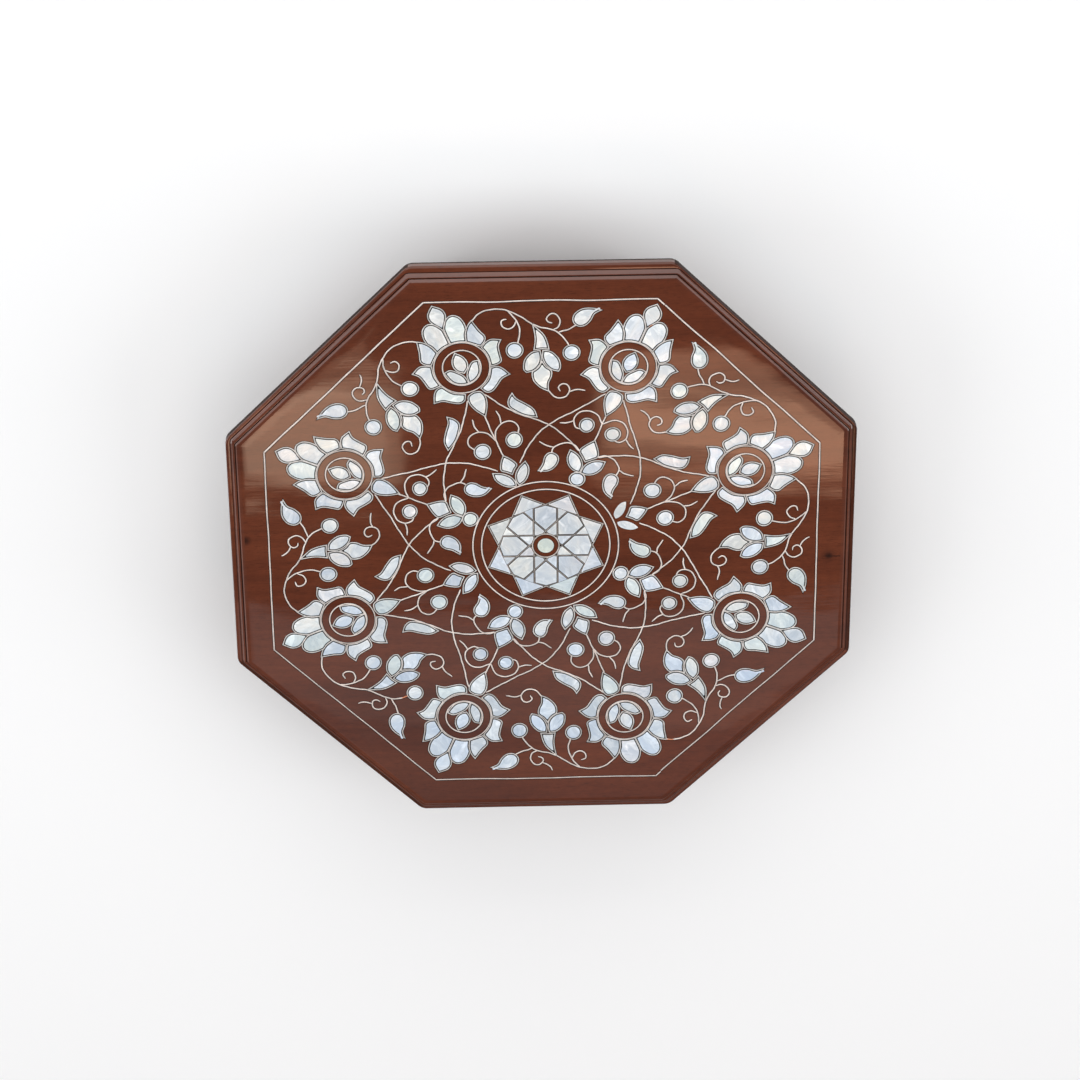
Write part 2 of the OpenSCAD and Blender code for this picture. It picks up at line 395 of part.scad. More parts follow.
// a leaf seen along the pin, lying in +Y from the pin, then turned to its place
module leaf(lid)
    difference() {
        union() {
            // knuckles
            if (lid) translate([-third / 2 + 0.1, 0, 0]) rotate([0, 90, 0]) cylinder(r = barrel_r, h = third - 0.2, $fn = 48);
            else for (s = [-1, 0]) translate([s < 0 ? -hinge_w / 2 : third / 2, 0, 0]) rotate([0, 90, 0]) cylinder(r = barrel_r, h = third, $fn = 48);
            // plate, and its tongue or tongues to the knuckles
            translate([-hinge_w / 2, barrel_r + 0.3, lid ? barrel_r + 0.2 - leaf_t : -barrel_r - 0.2]) cube([hinge_w, leaf_w - barrel_r - 0.3, leaf_t]);
            if (lid) translate([-third / 2 + 0.1, 0, barrel_r + 0.2 - leaf_t]) cube([third - 0.2, barrel_r + 0.4, leaf_t]);
            else for (s = [-1, 0]) translate([s < 0 ? -hinge_w / 2 : third / 2, 0, -barrel_r - 0.2]) cube([third, barrel_r + 0.4, leaf_t]);
        }
        rotate([0, 90, 0]) cylinder(r = lid ? pin_r + pin_c : pin_r, h = hinge_w + 2, center = true, $fn = 48);
        for (x = [-0.34, 0.34]) translate([x * hinge_w, leaf_w - 4, 0]) {
            cylinder(r = 0.9, h = 10, center = true, $fn = 32);
            if (lid) translate([0, 0, barrel_r + 0.2 - leaf_t]) cylinder(r1 = 1.9, r2 = 0.9, h = 1.0, $fn = 32);
            else translate([0, 0, -barrel_r - 0.2 + leaf_t - 1.0]) cylinder(r1 = 0.9, r2 = 1.9, h = 1.0, $fn = 32);
        }
    }
module screw(up) {
    // a countersunk wood screw, its head's face at z = 0, pointing down, or up
    mirror([0, 0, up ? 1 : 0]) difference() {
        union() {
            translate([0, 0, -1.0]) cylinder(r1 = 0.9, r2 = 1.9, h = 1.0, $fn = 32);
            translate([0, 0, -6.0]) cylinder(r = 0.9, h = 5.2, $fn = 32);
        }
        translate([-2.5, -0.2, -0.4]) cube([5, 0.4, 1]);
    }
}
module hinge_leaves_body() color(brassc) for (s = [-1, 1])
    translate([s * hinge_x, pin_y, pin_z]) rotate([-90, 0, 0]) leaf(false);
module hinge_leaves_lid() color(brassc) for (s = [-1, 1])
    translate([s * hinge_x, pin_y, pin_z]) leaf(true);
module hinge_pins() color(steel) for (s = [-1, 1])
    translate([s * hinge_x, pin_y, pin_z]) rotate([0, 90, 0]) cylinder(r = pin_r, h = hinge_w, center = true, $fn = 48);
module screws_lid() color(brassc) for (x = screw_xs)
    translate([x, pin_y + leaf_w - 4, z_rim - leaf_t]) screw(true);
module screws_body() color(brassc) for (x = screw_xs)
    translate([x, a_wall + leaf_t, pin_z - leaf_w + 4]) rotate([-90, 0, 0]) screw(false);

plinth();
glue_blocks();
bottom_board();
walls();
wall_back();
floor_felt();
wall_felt();
hinge_leaves_body();
hinge_pins();
screws_body();
hinge_leaves_lid();
screws_lid();
lid_frame();
lid_frame_back();
lid_felt();
lid_core();
lid_moulding();
lid_ground();
wire_border();
wire_rings();
wire_stems();
wire_star();
wire_flower_outlines();
wire_tulip_outlines();
wire_bud_outlines();
wire_leaf_outlines();
wire_berry_outlines();
pearl_flower_petals();
pearl_flower_buds();
pearl_tulips();
pearl_ring_buds();
pearl_leaves();
pearl_berries();
pearl_star_kites();
pearl_star_points();
pearl_star_wedges();
pearl_centre();
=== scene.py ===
import math
import random

import bmesh
import bpy
import numpy as np
from mathutils import Matrix, Vector
from mathutils.geometry import delaunay_2d_cdt


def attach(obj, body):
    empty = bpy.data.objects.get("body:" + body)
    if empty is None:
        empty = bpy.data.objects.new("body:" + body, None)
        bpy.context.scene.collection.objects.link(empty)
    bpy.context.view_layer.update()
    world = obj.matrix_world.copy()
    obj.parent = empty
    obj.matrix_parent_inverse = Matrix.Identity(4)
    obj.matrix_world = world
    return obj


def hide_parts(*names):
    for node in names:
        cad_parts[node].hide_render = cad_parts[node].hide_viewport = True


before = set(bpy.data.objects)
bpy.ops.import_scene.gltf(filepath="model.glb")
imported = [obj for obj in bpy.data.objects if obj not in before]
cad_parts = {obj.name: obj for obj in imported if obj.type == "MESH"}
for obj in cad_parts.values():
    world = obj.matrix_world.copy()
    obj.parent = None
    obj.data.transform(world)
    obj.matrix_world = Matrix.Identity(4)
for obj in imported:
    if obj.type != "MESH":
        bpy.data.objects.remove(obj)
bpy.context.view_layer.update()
rnd = random.Random(7)
MM = 0.001
sin, cos, tan, pi = math.sin, math.cos, math.tan, math.pi
D = pi / 180
T8 = tan(22.5 * D)

# ------------------------------------------------------------------ sizes, mm
A_OUT, A_BOARD, A_WALL, A_IN, A_PLINTH = 150.0, 138.0, 125.0, 117.0, 119.5
Z_RIM, Z_BOARD, Z_GROUND, Z_TOP, Z_FLOOR, PLINTH_H = 43.0, 53.0, 60.4, 62.0, 16.0, 10.0
WIRE, RING, EDGE, KERF = 0.67, 0.61, 0.52, 0.46
Z_GROOVE = 61.2          # bottom of the grooves for the thin wires
Z_GLUE = 61.94           # the dark filler lies a little under the polished face
GAP = 0.30               # dark filler outside each wire


# ------------------------------------------------------------------ mesh code
class Build:
    """Vertices in mm, already in the row frame, with per-vertex attributes."""

    def __init__(self):
        self.v, self.f, self.m, self.tone, self.seed = [], [], [], [], []
        self.now_tone, self.now_seed = (1, 1, 1, 1), (0, 0, 0)

    def add(self, pts):
        i = len(self.v)
        self.v += pts
        self.tone += [self.now_tone] * len(pts)
        self.seed += [self.now_seed] * len(pts)
        return list(range(i, len(self.v)))

    def loop(self, P, z):
        """A loop of pattern points at height z."""
        return self.add([(-p[0], -p[1], z) for p in P])

    def bridge(self, a, b, m=0, closed=True):
        n = len(a)
        for i in range(n if closed else n - 1):
            j = (i + 1) % n
            self.f.append((a[i], a[j], b[j], b[i]))
            self.m.append(m)

    def cap(self, a, m=0):
        self.f.append(tuple(a))
        self.m.append(m)

    def finish(self, name, mats, body, slot, nodes, smooth=35.0, merge=0.0, attrs=True, grain=None):
        me = bpy.data.meshes.new(name)
        me.from_pydata([(x * MM, y * MM, z * MM) for x, y, z in self.v], [], self.f)
        me.polygons.foreach_set("material_index", self.m)
        if attrs:
            t = me.attributes.new("tone", "FLOAT_COLOR", "POINT")
            t.data.foreach_set("color", [c for q in self.tone for c in q])
            s = me.attributes.new("seed", "FLOAT_VECTOR", "POINT")
            s.data.foreach_set("vector", [c for q in self.seed for c in q])
        if grain is not None:
            s = me.attributes.new("grain", "FLOAT_VECTOR", "POINT")
            s.data.foreach_set("vector", [c for q in grain for c in q])
        bm = bmesh.new()
        bm.from_mesh(me)
        if merge:
            bmesh.ops.remove_doubles(bm, verts=bm.verts, dist=merge)
            bmesh.ops.dissolve_degenerate(bm, dist=1e-7, edges=bm.edges)
        bmesh.ops.recalc_face_normals(bm, faces=bm.faces)
        bm.to_mesh(me)
        bm.free()
        if smooth:
            me.polygons.foreach_set("use_smooth", [True] * len(me.polygons))
            me.set_sharp_from_angle(angle=smooth * D)
        me.update()
        o = bpy.data.objects.new(name, me)
        bpy.context.scene.collection.objects.link(o)
        for m in mats:
            me.materials.append(m)
        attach(o, body)
        if nodes:
            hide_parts(*nodes)
        return o


# ------------------------------------------------------------------ curves
def cr(p0, p1, p2, p3, t):
    return tuple(0.5 * (2 * b + (c - a) * t + (2 * a - 5 * b + 4 * c - d) * t * t + (3 * b - a - 3 * c + d) * t ** 3)
                 for a, b, c, d in zip(p0, p1, p2, p3))


def line(P, n=4):
    m = len(P) - 1
    out = []
    for i in range(m):
        a = P[i - 1] if i else tuple(2 * x - y for x, y in zip(P[0], P[1]))
        d = P[i + 2] if i + 2 <= m else tuple(2 * x - y for x, y in zip(P[m], P[m - 1]))
        out += [cr(a, P[i], P[i + 1], d, k / n) for k in range(n)]
    return out + [tuple(P[m])]


def sub(a, b): return (a[0] - b[0], a[1] - b[1])
def add(a, b): return (a[0] + b[0], a[1] + b[1])
def mul(a, k): return (a[0] * k, a[1] * k)
def norm(a): return math.hypot(a[0], a[1])
def unit(a):
    n = norm(a) or 1e-9
    return (a[0] / n, a[1] / n)
def area2(P): return sum(P[i - 1][0] * P[i][1] - P[i][0] * P[i - 1][1] for i in range(len(P)))


def flat(arcs):
    return [p for a in arcs for p in a[:-1]]


def crossing(a, b, c, d):
    r, s = sub(b, a), sub(d, c)
    den = r[0] * s[1] - r[1] * s[0]
    if abs(den) < 1e-12:
        return None
    q = sub(c, a)
    t = (q[0] * s[1] - q[1] * s[0]) / den
    w = (q[0] * r[1] - q[1] * r[0]) / den
    if -1e-6 <= t <= 1 + 1e-6 and -1e-6 <= w <= 1 + 1e-6:
        return add(a, mul(r, t))
    return None


def resample(P, n):
    """n + 1 points at even spacing along the line P."""
    L = [0.0]
    for i in range(1, len(P)):
        L.append(L[-1] + norm(sub(P[i], P[i - 1])))
    out, j = [], 0
    for k in range(n + 1):
        s = L[-1] * k / n
        while j < len(P) - 2 and L[j + 1] < s:
            j += 1
        d = L[j + 1] - L[j]
        t = 0 if d < 1e-12 else min(1, max(0, (s - L[j]) / d))
        out.append(add(P[j], mul(sub(P[j + 1], P[j]), t)))
    return out


def shifted(arc, d, s):
    out = []
    for i, p in enumerate(arc):
        t = unit(sub(arc[min(i + 1, len(arc) - 1)], arc[max(i - 1, 0)]))
        out.append((p[0] - s * t[1] * d, p[1] + s * t[0] * d))
    return out


def offset_arcs(arcs, d, s=None):
    """The outline moved inwards by d, as arcs that meet at its corners, each with as many points as before."""
    if s is None:
        s = 1 if area2(flat(arcs)) > 0 else -1
    A = [shifted(a, d, s) for a in arcs]
    n = len(A)
    for i in range(n):
        a, b = A[i], A[(i + 1) % n]
        hit = None
        best = 1e9
        ka, kb = min(len(a) - 1, 16), min(len(b) - 1, 16)
        for x in range(ka):
            i0 = len(a) - 2 - x
            for y in range(kb):
                if x + y >= best:
                    break
                h = crossing(a[i0], a[i0 + 1], b[y], b[y + 1])
                if h:
                    hit, best, cut = h, x + y, (i0, y)
        if hit:
            A[i] = a[:cut[0] + 1] + [hit]
            A[(i + 1) % n] = [hit] + b[cut[1] + 1:]
        else:
            c = arcs[i][-1]
            ta, tb = unit(sub(a[-1], a[-2])), unit(sub(b[1], b[0]))
            den = ta[0] * tb[1] - ta[1] * tb[0]
            mid = mul(add(a[-1], b[0]), 0.5)
            if abs(den) > 0.05:
                q = sub(b[0], a[-1])
                k = (q[0] * tb[1] - q[1] * tb[0]) / den
                x = add(a[-1], mul(ta, k))
                e = norm(sub(x, c))
                lim = 2.6 * abs(d) + 0.02
                mid = x if e <= lim else add(c, mul(sub(x, c), lim / e))
            if norm(sub(mid, a[-1])) > 0.02:
                A[i] = a + [mid]
                A[(i + 1) % n] = [mid] + b
            else:
                A[i] = a[:-1] + [mid]
                A[(i + 1) % n] = [mid] + b[1:]
    return [resample(a, len(o) - 1) for a, o in zip(A, arcs)]


def rounded_loop(arcs, d, r, k=4):
    """The outline moved inwards by d, its corners rounded to radius r."""
    s = 1 if area2(flat(arcs)) > 0 else -1
    inner = offset_arcs(arcs, d + r, s)
    outer = [shifted(a, -r, s) for a in inner]
    out = []
    n = len(inner)
    for i in range(n):
        out += outer[i]
        c = inner[i][-1]
        p, q = sub(outer[i][-1], c), sub(outer[(i + 1) % n][0], c)
        a0, a1 = math.atan2(p[1], p[0]), math.atan2(q[1], q[0])
        da = (a1 - a0 + pi) % (2 * pi) - pi
        out += [(c[0] + r * cos(a0 + da * j / (k + 1)), c[1] + r * sin(a0 + da * j / (k + 1))) for j in range(1, k + 1)]
    return out


# ------------------------------------------------------------------ pattern
# Points of the flowers are [across, outwards] from the middle of the ring.
RF, FR, FI = 104.2, 13.4, 9.1
F_TIP = [[(0, 21.3), (1.2, 23.3), (3.0, 25.8), (4.1, 28.6), (3.4, 31.8), (0, 35.0)],
         [(0, 35.0), (-3.4, 31.8), (-4.1, 28.6), (-3.0, 25.8), (-1.2, 23.3), (0, 21.3)]]
F_ROUND = [[(0.2, 13.6), (0.2, 20.2), (0.8, 22.7), (3.2, 26), (6.4, 26.9), (9.3, 24.8), (10.3, 21), (10, 17.6)],
           [(10, 17.6), (8.4, 15.2), (7.4, 11.7)], [(7.4, 11.7), (4, 13.1), (0.2, 13.6)]]
F_ONE = [[(13.9, 20.8), (11.2, 19.0), (8.9, 16), (7.4, 11.7)], [(7.4, 11.7), (10.4, 9.0), (12.6, 6.9)],
         [(12.6, 6.9), (15.2, 8.4), (16.5, 10.8), (15.2, 14.8), (13.9, 20.8)]]
F_TWO = [[(12.8, 6.2), (15.6, 7.8), (18.6, 8.2), (22.6, 6.2)],
         [(22.6, 6.2), (20.2, 3.6), (19.2, -0.6), (18.6, -3.8), (16.6, -4.8), (13.0, -4.6)],
         [(13.0, -4.6), (13.8, 0.8), (12.8, 6.2)]]
F_THREE = [[(12.6, -5.4), (15.4, -5.8), (17.6, -8), (19.4, -12.0)],
           [(19.4, -12.0), (15.2, -12.6), (12, -14.8), (8.6, -16.8), (5.6, -16.4), (4.0, -13.4)],
           [(4.0, -13.4), (9.2, -10.5), (12.6, -5.4)]]
F_DROP = [[(0, -14.0), (3.2, -15.0), (4.2, -18.6), (2.9, -23.2), (0, -28.0)],
          [(0, -28.0), (-2.9, -23.2), (-4.2, -18.6), (-3.2, -15.0), (0, -14.0)]]
F_UP = [[(0, -3.0), (2.6, -0.9), (3.5, 2.2), (2.6, 5.4), (0, 8.3)],
        [(0, 8.3), (-2.6, 5.4), (-3.5, 2.2), (-2.6, -0.9), (0, -3.0)]]
F_SIDE = [[(0.15, -8.7), (3.6, -8.0), (7.0, -5.2), (8.7, 0.6)],
          [(8.7, 0.6), (5.6, 0.9), (2.8, -1.6), (0.7, -4.6), (0.15, -8.7)]]
# Round the middle ring, in the frames of the two kinds of flower.
A_TOP_PETAL = [[(0, 53.8), (2.5, 50.7), (4.1, 46.9), (2.0, 44.9), (0, 42.7)],
               [(0, 42.7), (-2.0, 44.9), (-4.1, 46.9), (-2.5, 50.7), (0, 53.8)]]
A_LOW_PETAL = [[(8.4, 46.9), (8.7, 43.4), (7.3, 40.2), (4.6, 37.4), (0.8, 36.0)],
               [(0.8, 36.0), (0.3, 38.6), (1.4, 42.0), (4.4, 45.0), (8.4, 46.9)]]
A_LEAF = [[(17.2, 82.8), (18.0, 79.4), (21.2, 75.2), (23.6, 71.0), (23.4, 66.6)],
          [(23.4, 66.6), (18.4, 69.6), (14.8, 73.7), (13.0, 77.2), (14.2, 80.4), (17.2, 82.8)]]
A_STEM = [(0, 77.5), (0, 65), (0, 52.8)]
A_CURLS = [[(0, 62.4), (1.8, 66.9), (5.2, 69.7), (9.2, 70.0), (12.3, 67.8), (12.9, 64.6), (11.2, 61.8)],
           [(5.7, 69.8), (6.7, 73.6), (6.2, 77.2)],
           [(4.4, 87.2), (9.2, 79.8), (14.2, 73.4), (20.4, 67.4), (25.2, 63.0), (28.3, 59.0), (31.4, 53.6), (33.6, 48.0), (35.2, 42.4)]]
B_TOP_PETAL = [[(0, 62.8), (3.4, 58.4), (4.7, 55.1), (2.6, 52.8), (0, 50.4)],
               [(0, 50.4), (-2.6, 52.8), (-4.7, 55.1), (-3.4, 58.4), (0, 62.8)]]
B_LOW_PETAL = [[(9.0, 53.9), (8.8, 49.4), (6.6, 45.9), (3.4, 44.2), (0.2, 44.2)],
               [(0.2, 44.2), (0.5, 48.4), (2.8, 51.6), (5.8, 53.3), (9.0, 53.9)]]
B_LEAF = [[(19.4, 36.8), (18.7, 41.2), (19.2, 45.0), (18.2, 48.0), (15.6, 49.2), (13.0, 48.2), (12.0, 45.4), (12.8, 41.6), (15.4, 38.4), (19.4, 36.8)]]
B_STEM = [(0, 77.5), (0, 70), (0, 61.8)]
B_CURLS = [[(0.2, 72.0), (3.2, 75.0), (6.7, 76.2), (10.5, 75.4), (13.2, 72.4), (13.5, 68.8), (11.5, 66.0), (9.0, 65.8)],
           [(13.3, 68.8), (16.2, 66.4), (19.2, 65.1)],
           [(4.6, 87.2), (8.4, 82.2), (13.8, 75.0), (19.5, 68.2), (23.6, 62.4), (26.3, 57.0), (28.0, 51.6), (28.9, 45.9), (29.2, 41.0), (29.3, 37.4)],
           [(4.6, 54.9), (8.1, 57.0), (12.2, 56.6), (15.4, 54.2), (17.0, 51.8), (16.7, 48.6)],
           [(16.7, 52.2), (20.2, 51.3), (24.8, 51.9)]]
# A sprig along one side, from the flower at its left.
S_CUP = [[(-5.5, 119.3), (-3.3, 117.1), (-0.3, 113.9), (1.3, 110.1), (2.1, 106.3)],
         [(2.1, 106.3), (-1.3, 106.6), (-4.9, 106.1)], [(-4.9, 106.1), (-4.3, 110.5), (-4.5, 114.5), (-5.5, 119.3)]]
S_LEFT = [[(-2.1, 105.7), (-6.1, 104.7), (-9.3, 100.9), (-9.9, 96.1), (-8.5, 94.3)],
          [(-8.5, 94.3), (-5.1, 95.3), (-2.3, 98.3), (-1.5, 102.1), (-2.1, 105.7)]]
S_RIGHT = [[(-0.7, 105.7), (3.3, 104.9), (6.7, 101.1), (7.5, 96.9), (6.5, 94.7)],
           [(6.5, 94.7), (3.3, 95.7), (0.5, 98.5), (-0.9, 102.1), (-0.7, 105.7)]]
S_TAIL = [[(-1.2, 99.9), (0.6, 97.1), (3.1, 95.1), (3.1, 91.9), (1.7, 88.5), (1.7, 84.3)],
          [(1.7, 84.3), (-2.1, 86.3), (-5.1, 89.7), (-5.9, 93.1), (-5.6, 94.7)], [(-5.6, 94.7), (-3.0, 96.7), (-1.2, 99.9)]]
S_LEAF = [[(26.9, 126.1), (23.1, 127.1), (18.1, 126.9), (14.3, 124.3), (13.5, 120.7), (15.7, 118.1), (19.1, 118.3), (21.9, 120.9), (23.7, 124.3), (26.9, 126.1)]]
S_LINES = [[(-35.4, 120.0), (-31.6, 124.2), (-27.2, 126.4), (-22.2, 127.1), (-16.9, 126.1), (-11.7, 123.7), (-7.9, 120.9), (-5.5, 119.3)],
           [(-5.9, 119.6), (-1.9, 117.9), (2.7, 116.7), (6.7, 114.7), (9.7, 111.3), (11.6, 107.6)],
           [(6.5, 114.9), (8.9, 115.8), (11.9, 116.7), (15.3, 118.8)],
           [(4.1, 116.4), (6.5, 117.9), (7.5, 120.9), (5.9, 124.1), (3.1, 124.5), (1.1, 122.3), (1.9, 120.3), (3.7, 119.9)],
           [(-17.3, 126.1), (-14.3, 122.9), (-12.3, 119.1), (-11.5, 114.7), (-12.6, 109.2)],
           [(-13.3, 120.9), (-14.7, 118.1), (-17.5, 116.7), (-20.1, 118.3), (-20.3, 120.9), (-17.9, 121.9)],
           [(1.4, 85.0), (3.9, 81.9), (7.1, 80.5), (10.3, 81.5), (11.7, 84.3), (10.7, 87.3), (8.1, 87.9), (6.3, 86.3), (7.3, 84.1)],
           [(11.5, 83.7), (14.7, 84.9), (19.3, 84.3)],
           [(1.7, 123.4), (-0.8, 124.6), (-2.6, 126.2), (-3.4, 128.0)]]
A_DISCS = [(8.2, 59.6, 4.0), (-8.2, 59.6, 4.0)]
B_DISCS = [(6.7, 68.8, 3.6), (-6.7, 68.8, 3.6), (0, 40.4, 3.7)]
S_DISCS = [(-14.1, 105.9, 4.0), (12.7, 104.3, 4.0)]
RING_O, RING_I, HUB_O, HUB_I, LATTICE, POINT_R, NOTCH_R = 35.1, 30.9, 6.8, 4.1, 5.65, 30.0, 22.6
HUB_RING = HUB_O - 0.4

H_FLOWERS = [(112.5, RF, 2.5, 1.5), (67.5, RF, 1, 0.5), (22.5, RF, 0.5, 0.5), (-22.5, RF, -0.5, -0.5),
             (-67.5, RF, -0.5, -0.5), (-112.5, RF, 0, 1), (-157.5, RF, 1, 1.5), (157.5, RF, 2, 2)]
H_BUDS = [(112.5, 45, 2, 1), (67.5, 50, 1, 0), (22.5, 45, 0.5, 0), (-22.5, 50, 0, 0.5),
          (-67.5, 45, 0, 0.5), (-112.5, 50, 1.5, 2), (-157.5, 45, 1, 1), (157.5, 50, 2.5, 1)]
H_SPRIGS = [(90, 100, 1.5, 0.5), (135, 100, 3, 2.5), (180, 100, 2, 1.5), (225, 100, 1, 2),
            (270, 100, 0, 0.5), (315, 100, -1, -0.5), (0, 100, 0.5, 0), (45, 100, 0, 1)]
MIDDLE = (1.2, 1.2)
ANCHORS = [(h[1] * cos(h[0] * D), h[1] * sin(h[0] * D), h[2], h[3]) for h in H_FLOWERS + H_BUDS + H_SPRIGS + [(0, 0, 1.2, 1.2)]]


def drift(p):
    w = [1 / (math.hypot(p[0] - a[0], p[1] - a[1]) + 2) ** 4 for a in ANCHORS]
    W = sum(w)
    return (p[0] + sum(k * a[2] for k, a in zip(w, ANCHORS)) / W, p[1] + sum(k * a[3] for k, a in zip(w, ANCHORS)) / W)


def at(th, p):
    s, c = sin(th * D), cos(th * D)
    return (p[0] * s + p[1] * c, -p[0] * c + p[1] * s)


def side(k, p):
    q = p if k < 4 else (-math.sqrt(0.5) * (p[0] + p[1]), math.sqrt(0.5) * (p[1] - p[0]))
    t = 90 * (k % 4) * D
    return (q[0] * cos(t) - q[1] * sin(t), q[0] * sin(t) + q[1] * cos(t))


A_AT, B_AT = (112.5, 22.5, -67.5, -157.5), (67.5, -22.5, -112.5, 157.5)
FLOWER_MID = [(h[1] * cos(h[0] * D) + h[2], h[1] * sin(h[0] * D) + h[3]) for h in H_FLOWERS]


def arcs_of(A, fn, mirrored=False, n=4):
    out = [[fn((-p[0], p[1]) if mirrored else p) for p in line(a, n)] for a in A]
    return [a[::-1] for a in out[::-1]] if mirrored else out


def clear_ring(arcs, r):
    out = []
    for a in arcs:
        b = []
        for p in a:
            d = sub(p, MIDDLE)
            b.append(add(MIDDLE, mul(unit(d), r)) if norm(d) < r else p)
        out.append(b)
    return out


def on_flower(i):
    return lambda p: add(at(H_FLOWERS[i][0], p), FLOWER_MID[i])


petals, flower_buds, ring_buds, leaves, tulips = [], [], [], [], []
for i in range(8):
    f = on_flower(i)
    if i != 4:
        petals.append(arcs_of(F_TIP, f))
    petals.append(arcs_of(F_DROP, f))
    for P in (F_ROUND, F_ONE, F_TWO, F_THREE):
        petals += [arcs_of(P, f), arcs_of(P, f, True)]
    flower_buds += [arcs_of(F_UP, f), arcs_of(F_SIDE, f), arcs_of(F_SIDE, f, True)]
for t in A_AT:
    f = lambda p, t=t: drift(at(t, p))
    r = RING_O + WIRE / 2 + EDGE / 2 + 0.05
    ring_buds += [clear_ring(a, r) for a in (arcs_of(A_TOP_PETAL, f), arcs_of(A_LOW_PETAL, f), arcs_of(A_LOW_PETAL, f, True))]
    leaves += [arcs_of(A_LEAF, f), arcs_of(A_LEAF, f, True)]
for t in B_AT:
    f = lambda p, t=t: drift(at(t, p))
    ring_buds += [arcs_of(B_TOP_PETAL, f), arcs_of(B_LOW_PETAL, f), arcs_of(B_LOW_PETAL, f, True)]
    leaves += [arcs_of(B_LEAF, f), arcs_of(B_LEAF, f, True)]
for k in range(8):
    f = lambda p, k=k: drift(side(k, p))
    leaves.append(arcs_of(S_LEAF, f))
    tulips += [arcs_of(P, f) for P in (S_CUP, S_LEFT, S_RIGHT, S_TAIL)]
discs = [drift(at(t, d[:2])) + (d[2],) for t in A_AT for d in A_DISCS]
discs += [drift(at(t, d[:2])) + (d[2],) for t in B_AT for d in B_DISCS]
discs += [drift(side(k, d[:2])) + (d[2],) for k in range(8) for d in S_DISCS]
stems = []
for T, S0, C in ((A_AT, A_STEM, A_CURLS), (B_AT, B_STEM, B_CURLS)):
    for t in T:
        stems.append([drift(at(t, p)) for p in line(S0, 8)])
        for c in C:
            stems.append([drift(at(t, p)) for p in line(c, 8)])
            stems.append([drift(at(t, (-p[0], p[1]))) for p in line(c, 8)])
for k in range(8):
    for c, L in enumerate(S_LINES):
        if (k, c) not in ((0, 8), (4, 7)):      # two twigs are lost
            stems.append([drift(side(k, p)) for p in line(L, 8)])


def circle(c, r, n):
    return [(c[0] + r * cos(2 * pi * i / n), c[1] + r * sin(2 * pi * i / n)) for i in range(n)]


def octagon(ap):
    return [(ap / cos(22.5 * D) * cos((22.5 + 45 * i) * D), ap / cos(22.5 * D) * sin((22.5 + 45 * i) * D)) for i in range(8)]


# one closed ring as a wire: loops at offsets across it, (offset, height)
TOP_E = 62.02


def wire_profile(h, z_low, z_top):
    return [(-h, z_low), (-h, Z_GLUE - 0.01), (-h + 0.1, z_top - 0.015), (-h * 0.3, z_top), (h * 0.3, z_top), (h - 0.1, z_top - 0.015), (h, Z_GLUE - 0.01), (h, z_low)]


def closed_wire(B, loop_at, h, z_low, z_top):
    rings = [B.loop(loop_at(d), z) for d, z in wire_profile(h, z_low, z_top)]
    for i in range(len(rings)):
        B.bridge(rings[i], rings[(i + 1) % len(rings)])


def open_wire(B, P, h, z_low, z_top, taper0=False, taper1=False):
    """A wire along the points P, its two ends closed."""
    n = len(P)
    rows = []
    for i, p in enumerate(P):
        t = unit(sub(P[min(i + 1, n - 1)], P[max(i - 1, 0)]))
        k = 1.0
        if taper0:
            k = min(k, (0.62, 0.86, 1.0)[min(i, 2)])
        if taper1:
            k = min(k, (0.62, 0.86, 1.0)[min(n - 1 - i, 2)])
        rows.append(B.add([(-(p[0] - t[1] * d * k), -(p[1] + t[0] * d * k), z) for d, z in wire_profile(h, z_low, z_top)]))
    for a, b in zip(rows, rows[1:]):
        B.bridge(a, b)
    B.cap(rows[0])
    B.cap(rows[-1])


# ------------------------------------------------------------------ materials
def new_mat(name):
    m = bpy.data.materials.new(name)
    m.use_nodes = True
    nt = m.node_tree
    nt.nodes.clear()
    out = nt.nodes.new("ShaderNodeOutputMaterial")
    b = nt.nodes.new("ShaderNodeBsdfPrincipled")
    nt.links.new(b.outputs[0], out.inputs[0])
    return m, nt, b


def node(nt, kind, inputs=None, **props):
    n = nt.nodes.new(kind)
    for k, v in props.items():
        setattr(n, k, v)
    for k, v in (inputs or {}).items():
        s = n.inputs[k]
        if isinstance(v, bpy.types.NodeSocket):
            nt.links.new(v, s)
        else:
            s.default_value = v
    return n


def coords(nt, kind):
    if kind == "object":
        return node(nt, "ShaderNodeTexCoord").outputs["Object"]
    return node(nt, "ShaderNodeAttribute", attribute_name=kind).outputs["Vector"]


def scaled(nt, vec, s, off=(0, 0, 0)):
    return node(nt, "ShaderNodeMapping", {"Vector": vec, "Scale": s, "Location": off}).outputs[0]


def noise(nt, vec, scale=1.0, detail=4.0, rough=0.5, dist=0.0):
    return node(nt, "ShaderNodeTexNoise", {"Vector": vec, "Scale": scale, "Detail": detail, "Roughness": rough, "Distortion": dist}).outputs[0]


def ramp(nt, fac, stops, mode="LINEAR"):
    n = node(nt, "ShaderNodeValToRGB", {"Fac": fac})
    r = n.color_ramp
    r.interpolation = mode
    while len(r.elements) < len(stops):
        r.elements.new(0.5)
    for e, (p, c) in zip(r.elements, stops):
        e.position = p
        e.color = c if len(c) == 4 else (*c, 1)
    return n.outputs[0]


def remap(nt, v, a, b, c, d, clamp=True):
    return node(nt, "ShaderNodeMapRange", {0: v, 1: a, 2: b, 3: c, 4: d}, clamp=clamp).outputs[0]


